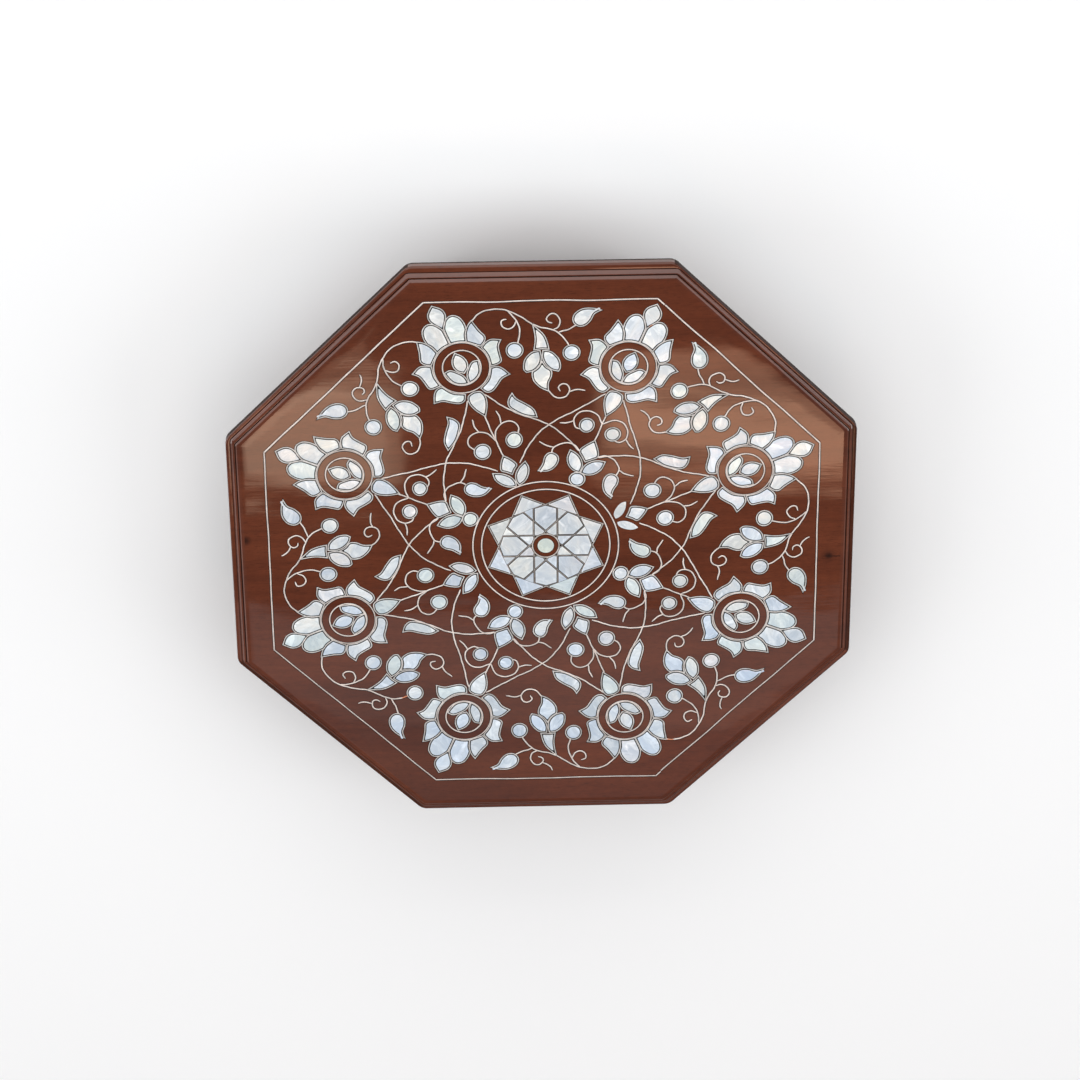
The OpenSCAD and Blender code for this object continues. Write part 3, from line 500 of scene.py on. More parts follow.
def mix(nt, fac, a, b, blend="MIX"):
    n = nt.nodes.new("ShaderNodeMix")
    n.data_type, n.blend_type = "RGBA", blend
    for s, v in ((n.inputs[0], fac), (n.inputs[6], a), (n.inputs[7], b)):
        if isinstance(v, bpy.types.NodeSocket):
            nt.links.new(v, s)
        else:
            s.default_value = v if not isinstance(v, tuple) or len(v) == 4 else (*v, 1)
    return n.outputs[2]


def bump(nt, height, strength, distance, normal=None):
    n = node(nt, "ShaderNodeBump", {"Height": height, "Strength": strength, "Distance": distance})
    if normal is not None:
        nt.links.new(normal, n.inputs["Normal"])
    return n.outputs[0]


def wood(name, dark, mid, light, kind="object", coat=1.0, rough=0.42, tint=(1.0, 0.62, 0.42), pores=1.0, spots=(), ior=1.5):
    m, nt, b = new_mat(name)
    co = coords(nt, kind)
    # broad figure, streaks along the grain, fibres and pores
    warp = noise(nt, scaled(nt, co, (7, 16, 16)), 1, 3, 0.5)
    wv = node(nt, "ShaderNodeVectorMath", {0: co, 1: node(nt, "ShaderNodeVectorMath", {0: warp, 1: (0.02, 0.006, 0.006)}, operation="MULTIPLY").outputs[0]}, operation="ADD").outputs[0]
    fig = noise(nt, scaled(nt, wv, (5, 34, 34)), 1, 5, 0.55, 0.3)
    streak = noise(nt, scaled(nt, wv, (16, 310, 310)), 1, 6, 0.6)
    fibre = noise(nt, scaled(nt, wv, (120, 2200, 2200)), 1, 3, 0.6)
    pore = noise(nt, scaled(nt, wv, (230, 3300, 3300), (3, 1, 2)), 1, 2, 0.5)
    base = ramp(nt, fig, [(0.30, dark), (0.5, mid), (0.72, light)])
    base = mix(nt, 0.55, base, ramp(nt, streak, [(0.30, (0.80, 0.78, 0.76)), (0.5, (1, 1, 1)), (0.72, (1.18, 1.16, 1.12))]), "MULTIPLY")
    mott = noise(nt, scaled(nt, wv, (240, 420, 420), (5, 3, 8)), 1, 4, 0.65)
    base = mix(nt, 0.8, base, ramp(nt, mott, [(0.30, (0.86, 0.84, 0.84)), (0.5, (1, 1, 1)), (0.70, (1.13, 1.13, 1.12))]), "MULTIPLY")
    base = mix(nt, 0.45, base, ramp(nt, fibre, [(0.35, (0.85, 0.84, 0.83)), (0.62, (1.12, 1.12, 1.1))]), "MULTIPLY")
    pm = remap(nt, pore, 0.62, 0.70, 0.0, 0.55 * pores)
    base = mix(nt, pm, base, tuple(0.35 * c for c in dark[:3]))
    for (x, y, z, r, k) in spots:
        d = node(nt, "ShaderNodeVectorMath", {0: co, 1: (x, y, z)}, operation="DISTANCE").outputs["Value"]
        base = mix(nt, remap(nt, d, r * 0.2, r, k, 0.0), base, tuple(0.25 * c for c in dark[:3]))
    if spots:
        # a shake that runs out from one knot to the edge
        xyz = node(nt, "ShaderNodeSeparateXYZ", {0: co})
        wob = node(nt, "ShaderNodeMath", {0: noise(nt, scaled(nt, co, (420, 3, 3)), 1, 2, 0.5), 1: 0.0016}, operation="MULTIPLY").outputs[0]
        dy = node(nt, "ShaderNodeMath", {0: node(nt, "ShaderNodeMath", {0: xyz.outputs[1], 1: wob}, operation="ADD").outputs[0], 1: 0.0082}, operation="SUBTRACT").outputs[0]
        near = remap(nt, node(nt, "ShaderNodeMath", {0: dy}, operation="ABSOLUTE").outputs[0], 0.0001, 0.0006, 0.75, 0.0)
        span = node(nt, "ShaderNodeMath", {0: remap(nt, xyz.outputs[0], -0.1335, -0.1375, 0.0, 1.0), 1: near}, operation="MULTIPLY").outputs[0]
        base = mix(nt, span, base, tuple(0.2 * c for c in dark[:3]))
    nt.links.new(base, b.inputs["Base Color"])
    rr = remap(nt, streak, 0.3, 0.75, rough - 0.05, rough + 0.07)
    nt.links.new(rr, b.inputs["Roughness"])
    h = mix(nt, 0.5, fibre, pore)
    nb = bump(nt, h, 0.10 if coat else 0.35, 0.0002)
    nt.links.new(nb, b.inputs["Normal"])
    b.inputs["Specular Tint"].default_value = (*tint, 1)
    b.inputs["Specular IOR Level"].default_value = 0.14
    if coat:
        b.inputs["Coat Weight"].default_value = coat
        b.inputs["Coat Roughness"].default_value = 0.045
        b.inputs["Coat IOR"].default_value = ior
        # the varnish follows the board's slight waviness and has sunk a little into the grain
        wave = noise(nt, scaled(nt, co, (14, 30, 30), (1, 5, 2)), 1, 2, 0.4)
        sink = noise(nt, scaled(nt, wv, (60, 900, 900)), 1, 3, 0.5)
        cn = bump(nt, wave, 0.25, 0.0012)
        cn = bump(nt, sink, 0.05, 0.0001, cn)
        nt.links.new(cn, b.inputs["Coat Normal"])
    return m


SPOTS = ((0.143, -0.007, 0.062, 0.0032, 0.85), (-0.138, 0.0072, 0.062, 0.0022, 0.95), (-0.1375, 0.007, 0.062, 0.005, 0.45),
         (-0.133, -0.078, 0.062, 0.0016, 0.7), (0.060, 0.128, 0.062, 0.075, 0.30))
M_BROWN = wood("brown_wood", (0.074, 0.0155, 0.0060), (0.102, 0.0225, 0.0085), (0.134, 0.0325, 0.0130), spots=SPOTS)
M_EDGE = wood("edge_wood", (0.074, 0.0155, 0.0060), (0.102, 0.0225, 0.0085), (0.134, 0.0325, 0.0130), spots=SPOTS)
M_SIDE = wood("side_wood", (0.072, 0.0170, 0.0070), (0.100, 0.0250, 0.0100), (0.130, 0.035, 0.0150), kind="grain")
M_DARK = wood("dark_wood", (0.040, 0.0110, 0.0058), (0.056, 0.0150, 0.0074), (0.078, 0.021, 0.0100), kind="grain")
M_PALE = wood("pale_wood", (0.21, 0.095, 0.038), (0.30, 0.145, 0.062), (0.38, 0.20, 0.095), coat=0, rough=0.68, tint=(1, 1, 1), pores=0.7)


def glue_mat():
    m, nt, b = new_mat("dark_filler")
    co = coords(nt, "object")
    n = noise(nt, co, 900, 3, 0.6)
    nt.links.new(ramp(nt, n, [(0.3, (0.003, 0.0022, 0.002)), (0.7, (0.009, 0.006, 0.005))]), b.inputs["Base Color"])
    b.inputs["Roughness"].default_value = 0.55
    b.inputs["Specular IOR Level"].default_value = 0.2
    b.inputs["Coat Weight"].default_value = 0.08
    b.inputs["Coat Roughness"].default_value = 0.12
    nt.links.new(bump(nt, n, 0.3, 0.0001), b.inputs["Normal"])
    return m


M_GLUE = glue_mat()


def wire_mat(name, lo, hi, metal=0.3, rough=0.42):
    m, nt, b = new_mat(name)
    co = coords(nt, "object")
    tone = node(nt, "ShaderNodeAttribute", attribute_name="tone").outputs["Color"]
    n1 = noise(nt, co, 260, 4, 0.6)
    n2 = noise(nt, co, 1900, 3, 0.6)
    c = ramp(nt, n1, [(0.32, lo), (0.66, hi)])
    c = mix(nt, 1.0, c, tone, "MULTIPLY")
    c = mix(nt, 0.5, c, ramp(nt, n2, [(0.3, (0.78, 0.76, 0.74)), (0.55, (1, 1, 1)), (0.75, (1.1, 1.1, 1.1))]), "MULTIPLY")
    nt.links.new(c, b.inputs["Base Color"])
    b.inputs["Metallic"].default_value = metal
    nt.links.new(remap(nt, n2, 0.3, 0.7, rough - 0.1, rough + 0.12), b.inputs["Roughness"])
    nt.links.new(bump(nt, n2, 0.2, 0.00006), b.inputs["Normal"])
    b.inputs["Coat Weight"].default_value = 0.5
    b.inputs["Coat Roughness"].default_value = 0.12
    return m


M_WIRE = wire_mat("tin_wire", (0.68, 0.58, 0.53), (0.90, 0.80, 0.74))
M_OUTLINE = wire_mat("tin_outline", (0.46, 0.437, 0.415), (0.76, 0.727, 0.70))
M_LATTICE = wire_mat("tin_lattice", (0.20, 0.17, 0.15), (0.40, 0.36, 0.33))


def shell_mat(name, gain=1.0):
    """Nacre: cloudy patches, fine wavy growth lines, and a soft polish. Every piece has a tone and a seed of its own."""
    m, nt, b = new_mat(name)
    co = coords(nt, "object")
    seed = node(nt, "ShaderNodeAttribute", attribute_name="seed").outputs["Vector"]
    tone = node(nt, "ShaderNodeAttribute", attribute_name="tone").outputs["Color"]
    # each piece is cut from another place of the shell and lies another way round
    rot = node(nt, "ShaderNodeVectorRotate", {"Vector": co, "Center": (0, 0, 0), "Axis": (0, 0, 1),
                                            "Angle": node(nt, "ShaderNodeSeparateXYZ", {0: seed}).outputs[2]}, rotation_type="AXIS_ANGLE").outputs[0]
    p = node(nt, "ShaderNodeVectorMath", {0: rot, 1: seed}, operation="ADD").outputs[0]
    cloud = noise(nt, scaled(nt, p, (55, 120, 100)), 1, 3, 0.5, 0.6)
    cloud2 = noise(nt, scaled(nt, p, (150, 260, 200), (4, 2, 7)), 1, 4, 0.55, 0.8)
    lines = noise(nt, scaled(nt, p, (130, 1500, 300), (1, 9, 3)), 1, 2, 0.5, 1.2)
    c = ramp(nt, cloud, [(0.26, (0.50, 0.55, 0.585)), (0.38, (0.60, 0.645, 0.68)), (0.50, (0.675, 0.705, 0.715)), (0.62, (0.74, 0.745, 0.725)), (0.76, (0.80, 0.79, 0.755))])
    c = mix(nt, remap(nt, cloud2, 0.52, 0.70, 0.0, 0.60), c, (0.90, 0.905, 0.89))
    c = mix(nt, remap(nt, cloud2, 0.48, 0.30, 0.0, 0.30), c, (0.55, 0.60, 0.67))
    c = mix(nt, remap(nt, cloud, 0.60, 0.72, 0.0, 0.16), c, (0.80, 0.71, 0.68))
    # painted highlight: near-white glints mixed into the base colour
    painted_glint = noise(nt, scaled(nt, p, (120, 210, 200), (14, 22, 3)), 1, 2, 0.5, 0.4)
    c = mix(nt, remap(nt, painted_glint, 0.60, 0.72, 0.0, 0.85), c, (0.97, 0.975, 0.965))
    c = mix(nt, 0.55, c, ramp(nt, lines, [(0.3, (0.90, 0.91, 0.92)), (0.5, (1, 1, 1)), (0.7, (1.05, 1.045, 1.03))]), "MULTIPLY")
    # each piece's tone, which carries the painted shade, highlight and light set in pearl and piece_tone
    c = mix(nt, 1.0, c, tone, "MULTIPLY")
    nt.links.new(c, b.inputs["Base Color"])
    nt.links.new(remap(nt, cloud2, 0.3, 0.7, 0.20, 0.34), b.inputs["Roughness"])
    b.inputs["IOR"].default_value = 1.6
    b.inputs["Coat Weight"].default_value = 0.7
    b.inputs["Coat Roughness"].default_value = 0.07
    b.inputs["Sheen Weight"].default_value = 0.08
    nt.links.new(bump(nt, mix(nt, 0.5, lines, cloud2), 0.12, 0.00025), b.inputs["Normal"])
    return m


M_SHELL = shell_mat("shell")


def felt_mat(name, base):
    m, nt, b = new_mat(name)
    co = coords(nt, "object")
    n1 = noise(nt, co, 38, 3, 0.5)
    n2 = noise(nt, co, 900, 5, 0.7, 0.6)
    n3 = noise(nt, scaled(nt, co, (2600, 700, 1400)), 1, 3, 0.6, 1.5)
    c = ramp(nt, n2, [(0.25, tuple(0.55 * x for x in base)), (0.5, base), (0.8, tuple(min(1, 1.7 * x + 0.01) for x in base))])
    c = mix(nt, 0.5, c, ramp(nt, n1, [(0.3, (0.82, 0.80, 0.80)), (0.7, (1.12, 1.1, 1.1))]), "MULTIPLY")
    c = mix(nt, remap(nt, n3, 0.60, 0.72, 0.0, 0.35), c, tuple(min(1, 2.2 * x + 0.03) for x in base))
    nt.links.new(c, b.inputs["Base Color"])
    b.inputs["Roughness"].default_value = 0.95
    b.inputs["Sheen Weight"].default_value = 0.6
    b.inputs["Sheen Roughness"].default_value = 0.5
    b.inputs["Sheen Tint"].default_value = (*[min(1, 2.5 * x + 0.1) for x in base], 1)
    nt.links.new(bump(nt, mix(nt, 0.4, n2, n3), 0.7, 0.0006), b.inputs["Normal"])
    return m


M_FELT = felt_mat("red_felt", (0.135, 0.012, 0.018))


def metal_mat(name, base, rough, along=(40, 900, 900), tarnish=(0.5, 0.4, 0.3)):
    m, nt, b = new_mat(name)
    co = coords(nt, "object")
    n1 = noise(nt, co, 160, 4, 0.6)
    n2 = noise(nt, scaled(nt, co, along), 1, 4, 0.6)
    c = mix(nt, remap(nt, n1, 0.45, 0.75, 0.0, 0.6), base, tuple(x * t for x, t in zip(base, tarnish)))
    c = mix(nt, 0.4, c, ramp(nt, n2, [(0.3, (0.85, 0.85, 0.85)), (0.7, (1.08, 1.08, 1.08))]), "MULTIPLY")
    nt.links.new(c, b.inputs["Base Color"])
    b.inputs["Metallic"].default_value = 1.0
    nt.links.new(remap(nt, mix(nt, 0.5, n1, n2), 0.3, 0.75, rough - 0.08, rough + 0.2), b.inputs["Roughness"])
    nt.links.new(bump(nt, n2, 0.12, 0.0001), b.inputs["Normal"])
    return m


M_BRASS = metal_mat("hinge_brass", (0.62, 0.42, 0.15), 0.34, tarnish=(0.55, 0.45, 0.35))
M_STEEL = metal_mat("pin_steel", (0.55, 0.55, 0.56), 0.30, along=(900, 900, 900), tarnish=(0.7, 0.65, 0.6))


# ------------------------------------------------------------------ the inlay
def piece_tone(c):
    """White, bluish, greenish, ivory or pinkish nacre, chosen at random. Painted light: pieces on the far side are
    tinted bluer and picked bluer more often, as painted bluish light, and pieces towards the near side, most of all the
    near right, are painted brighter.
    """
    t = min(1.0, max(0.0, (70 - c[1]) / 140))
    # painted bluish light: the bluer kinds are picked more often on the far side
    k = rnd.random() + 0.10 * t
    g = rnd.uniform(0.88, 1.06)
    if k < 0.36:
        q = (1.0, 1.0, 1.0)
    elif k < 0.60:
        q = (0.945, 0.98, 1.035)
    elif k < 0.74:
        q = (0.955, 1.0, 0.965)
    elif k < 0.88:
        q = (1.02, 1.0, 0.955)
    elif k < 0.94:
        q = (1.03, 0.98, 0.97)
    else:
        q = (0.93, 0.975, 1.05)
    # painted bluish light on the far side
    q = tuple(a * (1 + t * b) for a, b in zip(q, (-0.085, -0.030, 0.040)))
    # painted light: brighter towards the near side, most of all towards the near right
    near, right = min(1.0, max(0.0, (c[1] + 20) / 110)), min(1.0, max(0.0, (c[0] + 40) / 120))
    g *= 0.99 + 0.05 * near + 0.12 * near * right
    return (q[0] * g, q[1] * g, q[2] * g, 1)


def wire_tone(amount=0.12, copper=False, gain=1.0):
    g = gain * rnd.uniform(1 - amount, 1 + amount)
    return (g, g * 0.62, g * 0.42, 1) if copper else (g, g, g, 1)


footprints, fillers = [], []    # loops that are cut right through, and loops of dark filler
inner_edges = []                # the inside of each outline wire
clip_loops = []                 # stems end here


def pearl(B, loop_of, tone=None):
    """One piece of shell: straight sides, a filed edge and a slightly pillowed face."""
    L = loop_of(0)
    B.now_tone = tone or piece_tone((sum(p[0] for p in L) / len(L), sum(p[1] for p in L) / len(L)))
    B.now_seed = (rnd.uniform(-3, 3), rnd.uniform(-3, 3), rnd.uniform(0, 2 * pi))
    lift = rnd.uniform(-0.012, 0.012)
    base = loop_of(0)
    full = B.now_tone
    rings = []
    # painted shade and highlight: the tone is darker (0.45) down the sides and the filed edge, and a little brighter
    # (1.07) on the ring just inside the edge
    for d, z, k in ((0, Z_GROUND, 0.45), (0, Z_GLUE - 0.01, 0.45), (0.05, 61.99 + lift, 1.0), (0.20, 62.015 + lift, 1.07), (0.75, 62.035 + lift, 1.0)):
        B.now_tone = (full[0] * k, full[1] * k, full[2] * k, 1)
        rings.append(B.loop(base if d == 0 else loop_of(d), z))
    for a, b in zip(rings, rings[1:]):
        B.bridge(a, b)
    B.cap(rings[0])
    B.cap(rings[-1])
    return base


# short repairs in copper wire: place and length
COPPER = [(-68, -83, 2.2), (-31.5, -122.5, 1.8), (62, -112, 2.2), (52, 117, 1.6)]


def outline_pieces(arcs_list, pearls, wires, lift=0.0):
    for arcs in arcs_list:
        P = flat(arcs)
        c = (sum(p[0] for p in P) / len(P), sum(p[1] for p in P) / len(P))
        base = pearl(pearls, lambda d: rounded_loop(arcs, EDGE / 2 + KERF + d, 0.32))
        wires.now_tone = wire_tone()
        closed_wire(wires, lambda d: flat(offset_arcs(arcs, d)), EDGE / 2, Z_GROUND, TOP_E + rnd.uniform(-0.008, 0.008) + lift)
        outer, inner = flat(offset_arcs(arcs, -EDGE / 2)), flat(offset_arcs(arcs, EDGE / 2))
        footprints.append((outer, inner))
        footprints.append((base, None))
        inner_edges.append(inner)
        fillers.append(flat(offset_arcs(arcs, -EDGE / 2 - GAP)))
        clip_loops.append(flat(offset_arcs(arcs, -EDGE / 2 + 0.15)))


GROUPS = (("flower_petals", petals, "wire_flower_outlines"), ("flower_buds", flower_buds, "wire_flower_outlines"),
          ("tulips", tulips, "wire_tulip_outlines"), ("ring_buds", ring_buds, "wire_bud_outlines"), ("leaves", leaves, "wire_leaf_outlines"))
wires = {}
for name, group, wname in GROUPS:
    B = Build()
    W = wires.setdefault(wname, Build())
    outline_pieces(group, B, W)
    B.finish("pearl_" + name, [M_SHELL], "lid", "shell", ["pearl_" + name])


def copper_bits(W):
    for i, v in enumerate(W.v):
        if any(math.hypot(v[0] + q[0], v[1] + q[1]) < q[2] for q in COPPER):
            W.tone[i] = (0.95, 0.40, 0.22, 1)


for wname, W in wires.items():
    copper_bits(W)
    W.finish(wname, [M_OUTLINE], "lid", "tin_wire", [wname])

B, W = Build(), Build()
for x, y, r in discs:
    c = (x, y)
    # hand-cut discs are never quite round
    e, ph, e3, p3 = rnd.uniform(0.01, 0.035), rnd.uniform(0, pi), rnd.uniform(0, 0.015), rnd.uniform(0, pi)

    def disc(d, c=c, r=r, e=e, ph=ph, e3=e3, p3=p3):
        return [(c[0] + (r - d) * (1 + e * cos(2 * t - ph) + e3 * cos(3 * t - p3)) * cos(t), c[1] + (r - d) * (1 + e * cos(2 * t - ph) + e3 * cos(3 * t - p3)) * sin(t))
                for t in (2 * pi * i / 36 for i in range(36))]

    base = pearl(B, lambda d: disc(EDGE / 2 + KERF + d))
    W.now_tone = wire_tone()
    closed_wire(W, disc, EDGE / 2, Z_GROUND, TOP_E + rnd.uniform(-0.008, 0.008))
    footprints += [(disc(-EDGE / 2), disc(EDGE / 2)), (base, None)]
    inner_edges.append(disc(EDGE / 2))
    fillers.append(disc(-EDGE / 2 - GAP))
    clip_loops.append(disc(-EDGE / 2 + 0.15))
B.finish("pearl_berries", [M_SHELL], "lid", "shell", ["pearl_berries"])
W.finish("wire_berry_outlines", [M_OUTLINE], "lid", "tin_wire", ["wire_berry_outlines"])


# the star
def turn(p, t):
    return (p[0] * cos(t * D) - p[1] * sin(t * D), p[0] * sin(t * D) + p[1] * cos(t * D))


def spun(P, k):
    return [add(turn(p, 45 * k), MIDDLE) for p in P]


def poly_inset(P, d):
    """Straight-sided outline moved inwards, each side by its own d."""
    n = len(P)
    s = 1 if area2(P) > 0 else -1
    if not isinstance(d, (list, tuple)):
        d = [d] * n
    L = []
    for i in range(n):
        a, b = P[i], P[(i + 1) % n]
        t = unit(sub(b, a))
        nn = (-s * t[1], s * t[0])
        L.append((add(a, mul(nn, d[i])), t))
    out = []
    for i in range(n):
        (a, t), (b, u) = L[i - 1], L[i]
        den = t[0] * u[1] - t[1] * u[0]
        if abs(den) < 1e-6:
            out.append(mul(add(a, b), 0.5))
            continue
        q = sub(b, a)
        out.append(add(a, mul(t, (q[0] * u[1] - q[1] * u[0]) / den)))
    return out


apex, shoulder, cheek = LATTICE * math.sqrt(2), LATTICE * (1 + math.sqrt(2)), 20.8
tip = (POINT_R * sin(22.5 * D), POINT_R * cos(22.5 * D))
notch2 = (NOTCH_R * sin(45 * D), NOTCH_R * cos(45 * D))
near2, low2 = turn((-LATTICE, cheek), -45), turn((-LATTICE, shoulder), -45)
kite = [(0, apex), (LATTICE, shoulder), (LATTICE, cheek), (0, NOTCH_R), (-LATTICE, cheek), (-LATTICE, shoulder)]
point = [(LATTICE, cheek), (0, NOTCH_R), tip, notch2, near2]
seam_tri = [(LATTICE, shoulder), (LATTICE, cheek), near2]
hub_r = HUB_O - 0.3
wedge = [(0, apex), (LATTICE, shoulder), turn((0, apex), -45), (hub_r * sin(34 * D), hub_r * cos(34 * D)),
         (hub_r * sin(22.5 * D), hub_r * cos(22.5 * D)), (hub_r * sin(11 * D), hub_r * cos(11 * D))]
INS, OUT = 0.43, 0.60
SEAM = 0.06
edges = {}


def star_pieces(name, shapes):
    B = Build()
    for k in range(8):
        for P, d in shapes:
            Q = spun(P, k)
            dd = d if isinstance(d, list) else [d] * len(P)
            tone = piece_tone((sum(p[0] for p in Q) / len(Q), sum(p[1] for p in Q) / len(Q)))
            base = pearl(B, lambda e: poly_inset(Q, [x + e for x in dd]), tuple(0.93 * a for a in tone[:3]) + (1,))
            footprints.append((base, None))
            for i in range(len(Q)):
                if dd[i] == SEAM:
                    continue
                a, b = Q[i], Q[(i + 1) % len(Q)]
                key = (round((a[0] + b[0]) * 2), round((a[1] + b[1]) * 2))
                if norm(sub(mul(add(a, b), 0.5), MIDDLE)) > hub_r + 0.4:
                    edges[key] = (a, b)
    B.finish(name, [M_SHELL], "lid", "shell", [name])


star_pieces("pearl_star_kites", [(kite, 0.54)])
star_pieces("pearl_star_points", [(point, [INS, OUT, OUT, INS, SEAM]), (seam_tri, [INS, SEAM, INS])])
star_pieces("pearl_star_wedges", [(wedge, INS)])
B = Build()
disc_c = lambda d: circle(MIDDLE, HUB_I - 0.15 - d, 40)
footprints.append((pearl(B, disc_c, (0.84, 0.91, 0.84, 1)), None))
B.finish("pearl_centre", [M_SHELL], "lid", "shell", ["pearl_centre"])
fillers.append(circle(MIDDLE, HUB_I + 0.05, 48))
star_edge = []
for k in range(8):
    star_edge += [turn((0, NOTCH_R), 45 * k), turn((-tip[0], tip[1]), 45 * k)]
star_edge = [add(p, MIDDLE) for p in star_edge]

W = Build()
outer_mid = NOTCH_R * 1.02
for a, b in edges.values():
    m = sub(mul(add(a, b), 0.5), MIDDLE)
    out = norm(m) > outer_mid and norm(sub(b, a)) > 9.5
    W.now_tone = wire_tone(0.10, gain=1.6) if out else wire_tone(0.35, gain=0.9)
    t = unit(sub(b, a))
    nn = (-t[1], t[0])
    h = EDGE / 2 - 0.03 if out else rnd.uniform(0.17, 0.25)
    w = 0 if out else rnd.uniform(-0.07, 0.07)
    n = 5
    a, b = add(add(a, mul(t, -0.25)), mul(nn, w)), add(add(b, mul(t, 0.25)), mul(nn, w))
    P = [add(a, mul(sub(b, a), i / n)) for i in range(n + 1)]
    open_wire(W, P, h, Z_GROUND, TOP_E + rnd.uniform(-0.015, 0.01))
    h += 0.02
    footprints.append(([add(P[0], mul(nn, h)), sub(P[0], mul(nn, h)), sub(P[-1], mul(nn, h)), add(P[-1], mul(nn, h))], None))
W.now_tone = (1.9, 1.9, 1.9, 1)
closed_wire(W, lambda d: circle(MIDDLE, HUB_RING + d, 64), 0.28, Z_GROUND, 62.03)
footprints.append((circle(MIDDLE, HUB_RING + 0.28, 64), circle(MIDDLE, HUB_RING - 0.28, 64)))
W.finish("wire_star", [M_LATTICE], "lid", "tin_wire", ["wire_star"])
fillers.append(poly_inset(star_edge, -EDGE / 2 - GAP))
# the brown ring inside the hub stays wood
WOOD_DISC = (circle(MIDDLE, HUB_RING - 0.28 - GAP, 64), circle(MIDDLE, HUB_I + 0.05, 48))

# rings
grooves, groove_fill = [], []
W = Build()
for i in range(8):
    for r, n, h, g in ((FR - 0.2, 80, RING / 2 - 0.02, 0.80), (FI, 64, RING / 2, 1.0)):
        c = FLOWER_MID[i]
        W.now_tone = wire_tone(0.06, gain=g)
        e, ph = rnd.uniform(0.02, 0.07), rnd.uniform(0, 6.28)

        def ring(d):
            return [(c[0] + (r + d + e * cos(2 * t - ph)) * cos(t), c[1] + (r + d + e * cos(2 * t - ph)) * sin(t)) for t in (2 * pi * j / n for j in range(n))]

        closed_wire(W, ring, h, Z_GROOVE, 62.035)
        grooves.append((ring(h), ring(-h)))
        groove_fill.append((ring(h + GAP), ring(-h - GAP)))
    clip_loops.append(circle(FLOWER_MID[i], FR - 0.2 + RING / 2 - 0.15, 80))
for r in (RING_O, RING_I):
    W.now_tone = (1.04, 1.04, 1.04, 1)
    h = RING / 2 + 0.01
    closed_wire(W, lambda d: circle(MIDDLE, r + d, 144), h, Z_GROOVE, 62.035)
    grooves.append((circle(MIDDLE, r + h, 144), circle(MIDDLE, r - h, 144)))
    groove_fill.append((circle(MIDDLE, r + h + GAP, 144), circle(MIDDLE, r - h - GAP, 144)))
W.finish("wire_rings", [M_WIRE], "lid", "tin_wire", ["wire_rings"])

# the border line: eight lengths laid by hand
W = Build()
oct_mid = octagon(132.0)
for i in range(8):
    a, b = oct_mid[i], oct_mid[(i + 1) % 8]
    n = 26
    t = unit(sub(b, a))
    nn = (-t[1], t[0])
    ph, q = rnd.uniform(0, 6.28), rnd.uniform(0.8, 1.3)
    P = []
    for j in range(n + 1):
        s = j / n
        w = min(1, 6 * s, 6 * (1 - s)) * (0.16 * sin(5.3 * q * s * 2 + ph) + 0.10 * sin(13 * q * s + 2 * ph) + 0.05 * sin(31 * s + ph))
        P.append(add(add(a, mul(sub(b, a), s)), mul(nn, w)))
    runs = [P]
    if i == 0:      # a join near one corner
        cut = add(P[24], mul(sub(P[25], P[24]), 0.9))
        runs = [P[:25] + [cut], [add(p, mul(nn, 0.14)) for p in [add(cut, mul(t, 0.35))] + P[25:]]]
    if i == 6:
        cut = add(P[1], mul(t, -0.4))
        runs = [[add(p, mul(nn, -0.30)) for p in (P[0], cut)], [P[1]] + P[2:]]
    hw, gain = ((0.36, 1.06), (0.33, 1.0), (0.37, 1.10), (0.32, 0.95), (0.29, 0.80), (0.29, 0.80), (0.30, 0.86), (0.32, 0.95))[i]
    for R in runs:
        W.now_tone = wire_tone(0.03, gain=gain)
        if len(R) > 2:
            R = [add(R[0], mul(unit(sub(R[1], R[0])), 0.0))] + R[1:]
        open_wire(W, R, hw, Z_GROOVE, 62.03 + rnd.uniform(-0.006, 0.006))
        for h, store in ((hw, grooves), (hw + GAP, groove_fill)):
            L, Rr = [], []
            for j, p in enumerate(R):
                tt = unit(sub(R[min(j + 1, len(R) - 1)], R[max(j - 1, 0)]))
                L.append((p[0] - tt[1] * h, p[1] + tt[0] * h))
                Rr.append((p[0] + tt[1] * h, p[1] - tt[0] * h))
            store.append((L + Rr[::-1], None))
W.finish("wire_border", [M_WIRE], "lid", "tin_wire", ["wire_border"])


# ------------------------------------------------------------------ inside tests
def inside(pts, loop):
    """Which of the points lie in the loop, by winding number."""
    L = np.asarray(loop)
    a, b = L, np.roll(L, -1, axis=0)
    x, y = pts[:, 0:1], pts[:, 1:2]
    left = (b[:, 0] - a[:, 0]) * (y - a[:, 1]) - (x - a[:, 0]) * (b[:, 1] - a[:, 1])
    up = (a[:, 1] <= y) & (b[:, 1] > y) & (left > 0)
    down = (a[:, 1] > y) & (b[:, 1] <= y) & (left < 0)
    return (up.sum(1) - down.sum(1)) != 0


def inside_any(pts, loops):
    out = np.zeros(len(pts), bool)
    for L in loops:
        A = np.asarray(L)
        lo, hi = A.min(0), A.max(0)
        m = np.nonzero((pts[:, 0] >= lo[0]) & (pts[:, 0] <= hi[0]) & (pts[:, 1] >= lo[1]) & (pts[:, 1] <= hi[1]) & ~out)[0]
        if len(m):
            out[m[inside(pts[m], L)]] = True
    return out


